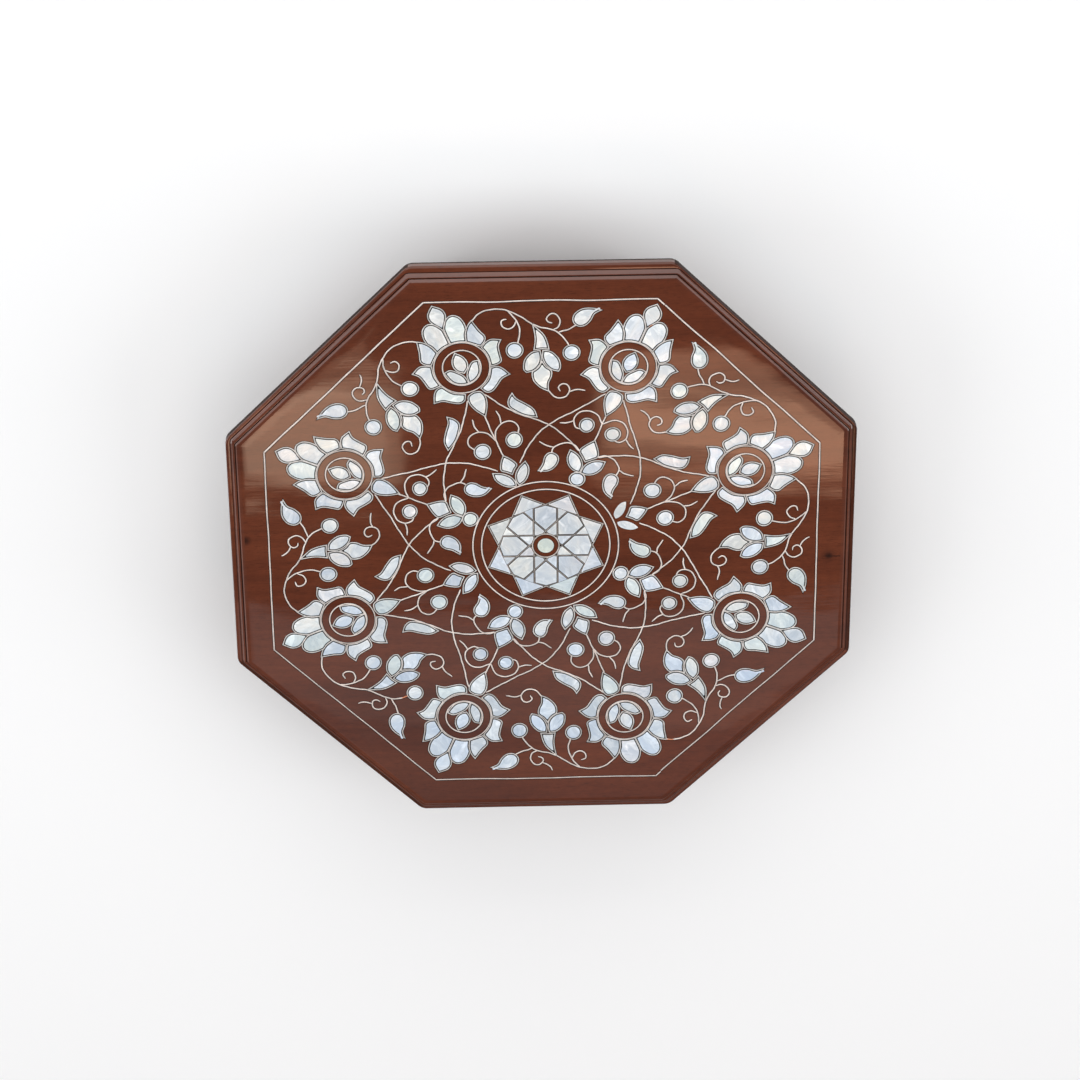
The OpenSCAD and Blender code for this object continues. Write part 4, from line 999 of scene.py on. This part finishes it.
# ------------------------------------------------------------------ stems
W = Build()
for S in stems:
    L = sum(norm(sub(b, a)) for a, b in zip(S, S[1:]))
    n = max(6, int(L / 0.2))
    F = resample(S, n)
    # the wire was bent by hand
    ph = rnd.uniform(0, 6.28)
    amp = 0.10
    G = []
    for j, p in enumerate(F):
        t = unit(sub(F[min(j + 1, n)], F[max(j - 1, 0)]))
        s = j * L / n
        e = min(1, j / 8, (n - j) / 8)
        w = e * amp * (sin(0.55 * s + ph) + 0.5 * sin(1.35 * s + 2.1 * ph))
        G.append((p[0] - t[1] * w, p[1] + t[0] * w))
    pts = np.asarray(G)
    out = ~inside_any(pts, clip_loops) & inside(pts, octagon(131.9))
    runs, cur = [], []
    for p, ok in zip(G, out):
        if ok:
            cur.append(p)
        elif cur:
            runs.append(cur)
            cur = []
    if cur:
        runs.append(cur)
    for R in runs:
        LR = 0.2 * (len(R) - 1)
        if LR < 0.8:
            continue
        free0, free1 = R[0] == G[0], R[-1] == G[-1]
        Q = resample(R, max(3, int(LR / 0.75)))
        W.now_tone = wire_tone(0.10)
        open_wire(W, Q, WIRE / 2, Z_GROOVE, 62.02 + rnd.uniform(-0.01, 0.01), taper0=free0, taper1=free1)
        for h, store in ((WIRE / 2, grooves), (WIRE / 2 + GAP, groove_fill)):
            for k0 in range(0, len(Q) - 1, 6):
                C = Q[k0:k0 + 7]
                if len(C) < 2:
                    continue
                Lf, Rt = [], []
                for j, p in enumerate(C):
                    q0, q1 = Q[max(0, k0 + j - 1)], Q[min(len(Q) - 1, k0 + j + 1)]
                    t = unit(sub(q1, q0))
                    k = 1.0
                    if free0 and k0 + j < 2:
                        k = (0.62, 0.86)[k0 + j]
                    if free1 and len(Q) - 1 - (k0 + j) < 2:
                        k = min(k, (0.62, 0.86)[len(Q) - 1 - (k0 + j)])
                    hh = h * k if h == WIRE / 2 else WIRE / 2 * k + GAP
                    Lf.append((p[0] - t[1] * hh, p[1] + t[0] * hh))
                    Rt.append((p[0] + t[1] * hh, p[1] - t[0] * hh))
                store.append((Lf + Rt[::-1], None))
copper_bits(W)
W.finish("wire_stems", [M_WIRE], "lid", "tin_wire", ["wire_stems"])


# ------------------------------------------------------------------ the ground
def under_side(P, rim):
    """Triangles between the rim edges, each of which has the wood on its left."""
    used = sorted({p for e in rim for p in e})
    num = {p: i for i, p in enumerate(used)}
    ov, _, of, names, _, _ = delaunay_2d_cdt([Vector((P[p][0], P[p][1])) for p in used], [(num[a], num[b]) for a, b in rim], [], 0, 1e-7, True)
    T = [tuple(used[names[v][0]] for v in f) for f in of if len(f) == 3]
    by = {(t[j], t[(j + 1) % 3]): i for i, t in enumerate(T) for j in range(3)}
    rims = set(rim)
    keep, todo = set(), [by[e] for e in rim if e in by]
    while todo:
        i = todo.pop()
        if i in keep:
            continue
        keep.add(i)
        for j in range(3):
            a, b = T[i][j], T[i][(j + 1) % 3]
            if (a, b) not in rims and (b, a) in by:
                todo.append(by[(b, a)])
    print("under side", len(rim), "rim edges", sum(e not in by for e in rim), "missing", len(ov) - len(used), "new points", len(keep), "triangles")
    return [T[i] for i in sorted(keep)]


def make_ground():
    loops = [octagon(A_BOARD)]
    for a, b in footprints + grooves + groove_fill:
        loops.append(a)
        if b:
            loops.append(b)
    loops += fillers + list(WOOD_DISC)
    V, E = [], []
    for L in loops:
        n0, n = len(V), len(L)
        E += [(n0 + i, n0 + (i + 1) % n) for i in range(n)]
        V += [Vector(p) for p in L]
    ov, oe, of, _, _, _ = delaunay_2d_cdt(V, E, [], 0, 1e-5, False)
    P = np.array([(v[0], v[1]) for v in ov])
    T = np.array([f for f in of if len(f) == 3])
    C = P[T].mean(1)
    print("ground", len(P), "points", len(T), "triangles")

    def within(pairs):
        out = np.zeros(len(C), bool)
        for a, b in pairs:
            A = np.asarray(a)
            lo, hi = A.min(0), A.max(0)
            m = np.nonzero((C[:, 0] >= lo[0]) & (C[:, 0] <= hi[0]) & (C[:, 1] >= lo[1]) & (C[:, 1] <= hi[1]) & ~out)[0]
            if not len(m):
                continue
            w = inside(C[m], a)
            if b:
                w &= ~inside(C[m], b)
            out[m[w]] = True
        return out

    board = inside(C, octagon(A_BOARD))
    hole = within(footprints)
    in_core = inside_any(C, inner_edges)
    groove = within(grooves) & ~hole & ~in_core
    fill = (inside_any(C, fillers) | within(groove_fill)) & ~hole & ~groove
    hub = inside(C, WOOD_DISC[0]) & ~inside(C, WOOD_DISC[1])
    fill &= ~hub
    cls = np.where(hole, 3, np.where(groove, 2, np.where(fill, 1, 0)))
    cls[~board] = 4
    # heights: wood, filler, groove bottom; 3 and 4 are open
    height = {0: Z_TOP, 1: Z_GLUE, 2: Z_GROOVE}
    # class of the neighbour across each edge
    owner = {}
    for i, t in enumerate(T):
        if cls[i] >= 3:
            continue
        for j in range(3):
            owner[(int(t[j]), int(t[(j + 1) % 3]))] = i
    levels = {}
    B = Build()
    index = {}

    def vid(p, z):
        k = (int(p), z)
        if k not in index:
            index[k] = len(B.v)
            B.v.append((-P[p][0], -P[p][1], z))
            B.tone.append((1, 1, 1, 1))
            B.seed.append((0, 0, 0))
        levels.setdefault(int(p), set()).add(z)
        return index[k]

    for i, t in enumerate(T):
        if cls[i] < 3:
            z = height[int(cls[i])]
            B.f.append((vid(t[0], z), vid(t[1], z), vid(t[2], z)))
            B.m.append(1 if cls[i] else 0)
    for t in under_side(P, [e for e in owner if (e[1], e[0]) not in owner]):
        B.f.append((vid(t[2], Z_GROUND), vid(t[1], Z_GROUND), vid(t[0], Z_GROUND)))
        B.m.append(0)
    walls = []
    for (a, b), i in owner.items():
        z1 = height[int(cls[i])]
        j = owner.get((b, a))
        z0 = Z_GROUND if j is None else height[int(cls[j])]
        if z1 > z0:
            walls.append((a, b, z1, z0, 1 if cls[i] else 0))
    for a, b, z1, z0, m in walls:
        la = sorted(z for z in levels[a] if z0 <= z <= z1)
        lb = sorted(z for z in levels[b] if z0 <= z <= z1)
        loop = [vid(a, z) for z in la[::-1]] + [vid(b, z) for z in lb]
        B.f.append(tuple(loop))
        B.m.append(m)
    return B.finish("lid_ground", [M_BROWN, M_GLUE], "lid", "brown_wood", ["lid_ground"], smooth=None, attrs=False)


ground = make_ground()


# ------------------------------------------------------------------ mitred lengths
def rounded_profile(P, r, n=3):
    """Corners of the closed profile P rounded; r is one radius or one for each corner."""
    out = []
    m = len(P)
    for i in range(m):
        a, c, b = P[i - 1], P[i], P[(i + 1) % m]
        rr = r[i] if isinstance(r, (list, tuple)) else r
        if not rr:
            out.append(c)
            continue
        u, v = unit(sub(a, c)), unit(sub(b, c))
        k = min(rr, 0.4 * norm(sub(a, c)), 0.4 * norm(sub(b, c)))
        p, q = add(c, mul(u, k)), add(c, mul(v, k))
        for j in range(n + 1):
            t = j / n
            out.append(tuple((1 - t) ** 2 * x + 2 * t * (1 - t) * y + t * t * z for x, y, z in zip(p, c, q)))
    return out


def lengths(name, profile, sides, mats, body, slot, nodes, corner=0.0, gap=0.02, stations=9, object_grain=False, smooth=30.0, stray=None, part=None):
    """Mitred lengths with the profile [(distance from the axis, z)], each a closed solid. Side k faces 45 k degrees."""
    B = Build()
    grain = []
    C8 = cos(45 * D)
    for k in sides:
        th = 45 * k * D
        out, along = (cos(th), sin(th)), (-sin(th), cos(th))
        shift = rnd.uniform(0, 3)
        rows = []
        N = 5
        inner = [("t", j / stations) for j in range(stations + 1)]
        plan = [(-1, 22.5 * j / N) for j in range(N, 0, -1)] + inner + [(1, 22.5 * j / N) for j in range(1, N + 1)] if corner else inner
        for s in plan:
            row, gr = [], []
            for i, (a, z) in enumerate(profile):
                r = max(0.0, corner - (A_OUT - a)) if corner else 0.0
                before, a, after = (a + (stray(q, i) if stray else 0.0) - r for q in (k - 1, k, k + 1))
                low, high = -(before - a * C8) / C8, (after - a * C8) / C8
                if s[0] == "t":
                    o, l = a + r, low + (high - low) * s[1]
                else:
                    o, l = a + r * cos(s[1] * D), (high if s[0] > 0 else low) + s[0] * r * sin(s[1] * D)
                l = max(low - (o - a) * T8 + gap, min(high + (o - a) * T8 - gap, l))
                row.append((out[0] * o + along[0] * l, out[1] * o + along[1] * l, z))
                gr.append(((l * MM) + shift, o * MM + 0.37 * k, z * MM))
            rows.append(B.add(row))
            grain += gr
        for a, b in zip(rows, rows[1:]):
            at0 = len(B.m)
            B.bridge(a, b)
            if part:
                for i in range(len(a)):
                    B.m[at0 + i] = part(k, i)
        B.cap(rows[0])
        B.cap(rows[-1])
    return B.finish(name, mats, body, slot, nodes, smooth=smooth, merge=2e-6 if corner else 0, attrs=False, grain=None if object_grain else grain)


def mz(d): return Z_TOP - d


# profile of the edge: (distance from the axis, z, how far the point follows the inner arris, the foot of the band and the outer edge,
# what lies between this point and the next: Under side, Vertical face, Round, Step, Quirk, Band or Flat)
MOULD = [(138.0, 53.0, 0, 0, 0, "U"), (147.2, 53.0, 0, 0, 0, "U"), (147.6, 53.25, 0, 0, 0, "U"), (147.7, 54.1, 0, 0, 0, "U"), (147.85, 54.5, 0, 0, 1, "U"),
         (148.3, 54.7, 0, 0, 1, "U"), (149.0, 54.85, 0, 0, 1, "U"), (149.5, 55.2, 0, 0, 1, "U"), (149.85, 55.8, 0, 0, 1, "U"), (150.0, 56.6, 0, 0, 1, "U"),
         (150.0, 57.25, 0, 0, 1, "V"), (150.0, 57.4, 0, 0, 1, "V"), (150.0, 59.7, 0, 0, 1, "V"), (150.0, 59.85, 0, 0, 1, "R"), (149.93, 60.2, 0, 0, 1, "R"),
         (149.72, 60.45, 0, 0, 1, "R"), (149.4, 60.58, 0, 0.2, 0.8, "S"), (149.25, 60.6, 0, 0.3, 0.7, "S"), (147.85, 60.6, 0, 1, 0, "S"), (147.72, 60.58, 0, 1, 0, "Q"),
         (147.6, 60.5, 0, 1, 0, "Q"), (147.5, 60.62, 0, 1, 0, "Q"), (147.44, 60.85, 0, 1, 0, "B"), (147.3, 61.02, 0.1, 0.9, 0, "B"), (147.0, 61.2, 0.35, 0.65, 0, "B"),
         (146.6, 61.34, 0.65, 0.35, 0, "B"), (146.25, 61.42, 0.95, 0.05, 0, "B"), (146.12, 61.42, 1, 0, 0, "Q"), (146.0, 61.25, 1, 0, 0, "Q"), (145.8, 61.2, 1, 0, 0, "Q"),
         (145.66, 61.4, 1, 0, 0, "Q"), (145.6, 61.6, 1, 0, 0, "B"), (145.45, 61.7, 1, 0, 0, "B"), (145.0, 61.84, 1, 0, 0, "B"), (144.4, 61.94, 1, 0, 0, "B"),
         (143.6, 61.99, 1, 0, 0, "F"), (143.3, 62.0, 1, 0, 0, "F"), (138.0, 62.0, 0, 0, 0, "U")]
# the edge was worked by hand: how far each side strays from the rule (inner arris, foot of the band, outer edge)
STRAY = ((-0.1, 0.4, 0.25), (0.9, 0.7, 0.1), (0.9, 0.6, 0.15), (-0.3, 0.0, 0.0), (0.0, 0.1, -0.35), (0.85, 1.6, 0.2), (-1.8, -0.85, -0.1), (-0.9, 0.2, -0.5))
# painted shade: two darker, duller copies of the edge wood for the under side, the quirks and the outer faces away from
# the front
M_EDGE_SHADE = wood("edge_painted_shade", (0.014, 0.0045, 0.0030), (0.020, 0.0062, 0.0040), (0.028, 0.009, 0.0055), rough=0.6, coat=0.06)
M_EDGE_HALF_SHADE = wood("edge_painted_half_shade", (0.034, 0.0085, 0.0042), (0.048, 0.0115, 0.0055), (0.064, 0.017, 0.0080), rough=0.5, coat=0.3)
M_BAND = wood("edge_band", (0.074, 0.0155, 0.0060), (0.102, 0.0225, 0.0085), (0.134, 0.0325, 0.0130), ior=1.72)


def stray(k, i):
    return sum(a * b for a, b in zip(STRAY[k % 8], MOULD[i][2:5]))


def edge_part(k, i):
    """Which wood each strip of the edge gets: painted shade in most quirks and on the under side; the outer edge is
    painted darker on most sides and darkest on the two sides beside the front, while the front keeps the plain and band
    woods.
    """
    p = MOULD[i][5]
    # painted shade under the edge and in the quirks
    if p == "U" or (p == "Q" and not (k in (1, 2, 3) and MOULD[i][2])):
        return 1
    if p == "Q":
        return 0
    # painted shade: the outer faces and their rounding are darker away from the front
    if p == "V":
        return 3 if k == 6 else (1 if k in (5, 7) else 2)
    if p == "R":
        return 0 if k in (0, 6) else (3 if k == 7 else 2)
    if p == "S":
        return 2 if k in (1, 4) else 0
    return 3 if p == "B" else 0


lengths("lid_moulding", [p[:2] for p in MOULD], range(8), [M_EDGE, M_EDGE_SHADE, M_EDGE_HALF_SHADE, M_BAND], "lid", "brown_wood", ["lid_moulding"], corner=6.5, gap=0.012, stations=6,
        object_grain=True, smooth=38, stray=stray, part=edge_part)

fr = [(A_IN, Z_RIM), (139.0, Z_RIM), (139.0, 45.0)] + line([(139.0, 45.0), (139.6, 46.6), (141.0, 48.5), (143.2, 50.0), (145.4, 50.6)], 3)[1:] + [(145.4, Z_BOARD), (A_IN, Z_BOARD)]
rad = [0.5, 0.6, 0.0] + [0.0] * (len(fr) - 5) + [0.0, 0.0]
fr = rounded_profile(fr, rad)
lengths("lid_frame", fr, [i for i in range(8) if i != 2], [M_DARK], "lid", "dark_wood", ["lid_frame"], gap=0.04)
lengths("lid_frame_back", fr, [2], [M_DARK], "lid", "dark_wood", ["lid_frame_back"], gap=0.04)
wl = rounded_profile([(A_IN, PLINTH_H), (A_WALL, PLINTH_H), (A_WALL, Z_RIM), (A_IN, Z_RIM)], [0.0, 0.5, 0.7, 0.7])
lengths("walls", wl, [i for i in range(8) if i != 2], [M_SIDE], "box", "brown_wood", ["walls"], gap=0.04)
lengths("wall_back", wl, [2], [M_SIDE], "box", "brown_wood", ["wall_back"], gap=0.04)
pl = [(105.5, 0.0), (118.9, 0.0), (119.5, 0.6), (119.5, 7.5)] + line([(119.5, 7.5), (119.3, 8.3), (118.8, 9.1), (118.0, 9.7), (117.0, 10.0)], 3)[1:] + [(105.5, 10.0)]
lengths("plinth", rounded_profile(pl, [0.3, 0.3, 0.3, 0] + [0] * (len(pl) - 5) + [0.3]), range(8), [M_DARK], "box", "dark_wood", ["plinth"], gap=0.04)


# ------------------------------------------------------------------ felts
def felt_octagon(name, ap, z0, z1, body, node_name, up):
    """A sheet of felt glued down flat, its cut edge a little soft and its face a little uneven."""
    B = Build()
    top, bot = [], []
    R = [0.0] + [ap * k / 14 for k in range(1, 14)] + [ap - 0.5, ap]
    nseg = 64

    def pt(r, j):
        a = 2 * pi * j / nseg
        q = (a + 22.5 * D) % (45 * D) - 22.5 * D
        o = r / cos(q)
        return (o * cos(a), o * sin(a))

    def zz(x, y, r, face):
        w = 0.08 * (sin(0.09 * x + 1.2) * cos(0.11 * y) + 0.5 * sin(0.23 * x - 0.19 * y))
        e = 0.0 if r < ap - 0.2 else -0.35 * (z1 - z0)
        if face:
            return (z1 - 0.1 + w * 0.8 + e) if up else (z0 + 0.1 + w * 0.8 - e)
        return z0 if up else z1

    for face, store in ((1, top), (0, bot)):
        c = B.add([(0, 0, zz(0, 0, 0, face))])[0]
        store.append([c])
        for r in R[1:]:
            store.append(B.add([(*pt(r, j), zz(*pt(r, j), r, face)) for j in range(nseg)]))
        for j in range(nseg):
            B.f.append((store[0][0], store[1][j], store[1][(j + 1) % nseg]))
            B.m.append(0)
        for a, b in zip(store[1:], store[2:]):
            B.bridge(a, b)
    B.bridge(top[-1], bot[-1])
    o = B.finish(name, [M_FELT], body, "red_felt", [node_name], smooth=50, attrs=False)
    return o


felt_octagon("floor_felt", 116.0, 16.0, 17.5, "box", "floor_felt", True)
felt_octagon("lid_felt", 116.7, 52.0, 53.0, "lid", "lid_felt", False)


def wall_felt():
    """One strip of felt glued round the inside of the walls, bent at the corners."""
    B = Build()
    prof = [(117.0, 16.0), (116.0, 16.0), (115.97, 22.0), (116.02, 28.0), (115.98, 34.0), (116.05, 38.4), (116.3, 38.9), (117.0, 39.0)]
    rows = []
    n = 12
    for k in range(8):
        for j in range(n):
            if j == 0:
                ang, s = 45 * k - 22.5, None
            t = -1 + 2 * j / n
            row = []
            for i, (a, z) in enumerate(prof):
                th = 45 * k * D
                l = t * a * T8
                wob = 0.0 if a > 116.9 else 0.05 * sin(0.4 * (l + 40 * k) + i)
                o = a - abs(wob) * (1 if 0 < i < 6 else 0)
                zed = z + (0.12 * sin(0.35 * (l + 97 * k)) + 0.06 * sin(1.1 * l + k) if z > 38 else 0)
                row.append((cos(th) * o - sin(th) * l, sin(th) * o + cos(th) * l, min(zed, 39.0)))
            rows.append(B.add(row))
    for a, b in zip(rows, rows[1:] + rows[:1]):
        B.bridge(a, b)
    o = B.finish("wall_felt", [M_FELT], "box", "red_felt", ["wall_felt"], smooth=35, attrs=False)


wall_felt()

# ------------------------------------------------------------------ carried-over CAD pieces
def paint(name, m):
    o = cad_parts[name]
    o.data.materials.clear()
    o.data.materials.append(m)


for n in ("hinge_leaves_body", "hinge_leaves_lid", "screws_body", "screws_lid"):
    paint(n, M_BRASS)
paint("hinge_pins", M_STEEL)
for n in ("bottom_board", "glue_blocks", "lid_core"):
    paint(n, M_PALE)

# ------------------------------------------------------------------ floor, light, camera
def stage():
    B = Build()
    n = 96
    c = B.add([(0, 0, 0)])[0]
    prev = None
    for r in (400, 1200, 6000):
        row = B.add([(r * cos(2 * pi * i / n), r * sin(2 * pi * i / n), 0) for i in range(n)])
        if prev is None:
            for i in range(n):
                B.f.append((c, row[i], row[(i + 1) % n]))
                B.m.append(0)
        else:
            B.bridge(prev, row)
        prev = row
    me = bpy.data.meshes.new("floor")
    me.from_pydata([(x * MM, y * MM, z * MM) for x, y, z in B.v], [], B.f)
    m, nt, b = new_mat("pale_floor")
    b.inputs["Base Color"].default_value = (0.93, 0.93, 0.93, 1)
    b.inputs["Roughness"].default_value = 0.9
    b.inputs["Specular IOR Level"].default_value = 0.1
    me.materials.append(m)
    o = bpy.data.objects.new("floor", me)
    bpy.context.scene.collection.objects.link(o)


stage()


def panel(name, loc, size, radiance, color, target=None, turned=0.0):
    """A soft box; radiance in the units of the picture."""
    L = bpy.data.lights.new(name, "AREA")
    L.shape = "RECTANGLE"
    L.size, L.size_y = size
    L.energy = radiance * pi * size[0] * size[1]
    L.color = color
    o = bpy.data.objects.new(name, L)
    o.location = loc
    o.rotation_euler = (0, 0, turned * D)
    if target is not None:
        d = Vector(target) - Vector(loc)
        o.rotation_euler = d.to_track_quat("-Z", "Y").to_euler()
    bpy.context.scene.collection.objects.link(o)
    return o


panel("sheen_left", (0.1695, 0.464, 1.062), (0.128, 0.090), 1.58, (1.0, 0.69, 0.485))
panel("sheen_left_wide", (0.1695, 0.464, 1.0623), (0.154, 0.118), 2.45, (1.0, 0.69, 0.485))
panel("sheen_left_soft", (0.178, 0.410, 1.0622), (0.128, 0.066), 1.2, (1.0, 0.66, 0.46), turned=8)
panel("sheen_right", (-0.180, 0.466, 1.062), (0.235, 0.050), 2.9, (1.0, 0.55, 0.34), turned=-7)
panel("sheen_right_wide", (-0.180, 0.456, 1.0621), (0.222, 0.092), 1.22, (1.0, 0.57, 0.37))
panel("sheen_right_edge", (-0.180, 0.456, 1.0624), (0.248, 0.120), 1.72, (1.0, 0.57, 0.37))
panel("sheen_low", (-0.03, 0.757, 1.062), (0.65, 0.285), 0.36, (0.80, 0.90, 1.0))
panel("sheen_low_left", (0.100, 0.772, 1.0622), (0.17, 0.16), 0.024, (0.45, 0.70, 1.0))
panel("sheen_low_near", (-0.05, 0.676, 1.0621), (0.60, 0.118), 0.30, (1.0, 0.97, 0.92))
panel("edge_left", (1.2, 1.0, 1.25), (0.55, 0.55), 1.1, (1.0, 0.95, 0.93), (0, 0, 0.05))
panel("edge_right", (-1.2, 1.0, 1.25), (0.5, 0.5), 0.4, (1.0, 0.95, 0.93), (0, 0, 0.05))
panel("key", (0.0, -0.75, 1.75), (2.6, 2.6), 1.33, (0.97, 0.985, 1.0), (0, 0, 0.05))
panel("front", (0.0, -2.1, 0.95), (2.6, 1.0), 2.35, (1.0, 0.99, 0.97), (0, 0, 0.03))
panel("fill_left", (1.7, 0.2, 1.2), (1.2, 1.4), 2.6, (0.98, 0.99, 1.0), (0, 0, 0.05))
panel("fill_right", (-1.7, 0.2, 1.2), (1.2, 1.4), 2.6, (0.98, 0.99, 1.0), (0, 0, 0.05))

world = bpy.data.worlds.new("studio")
bpy.context.scene.world = world
world.use_nodes = True
nt = world.node_tree
nt.nodes.clear()
wo = nt.nodes.new("ShaderNodeOutputWorld")
bg1 = node(nt, "ShaderNodeBackground", {"Color": (0.93, 0.96, 1.0, 1), "Strength": 0.14})
bg2 = node(nt, "ShaderNodeBackground", {"Color": (1, 1, 1, 1), "Strength": 1.0})
lp = nt.nodes.new("ShaderNodeLightPath")
mx = node(nt, "ShaderNodeMixShader", {0: lp.outputs["Is Camera Ray"], 1: bg1.outputs[0], 2: bg2.outputs[0]})
nt.links.new(mx.outputs[0], wo.inputs[0])

cam = bpy.data.cameras.new("camera")
cam.lens, cam.sensor_width, cam.sensor_fit = 124.32, 36, "HORIZONTAL"
cam.clip_start, cam.clip_end = 0.05, 30
co = bpy.data.objects.new("camera", cam)
co.matrix_world = Matrix(((-0.99975, -0.01813, 0.01299, 0.024861), (0.0094, -0.87075, -0.49163, -0.887072), (0.02022, -0.49139, 0.87071, 1.625231), (0, 0, 0, 1)))
bpy.context.scene.collection.objects.link(co)
bpy.context.scene.camera = co
bpy.context.scene.view_settings.view_transform = "Standard"
bpy.context.scene.view_settings.look = "None"
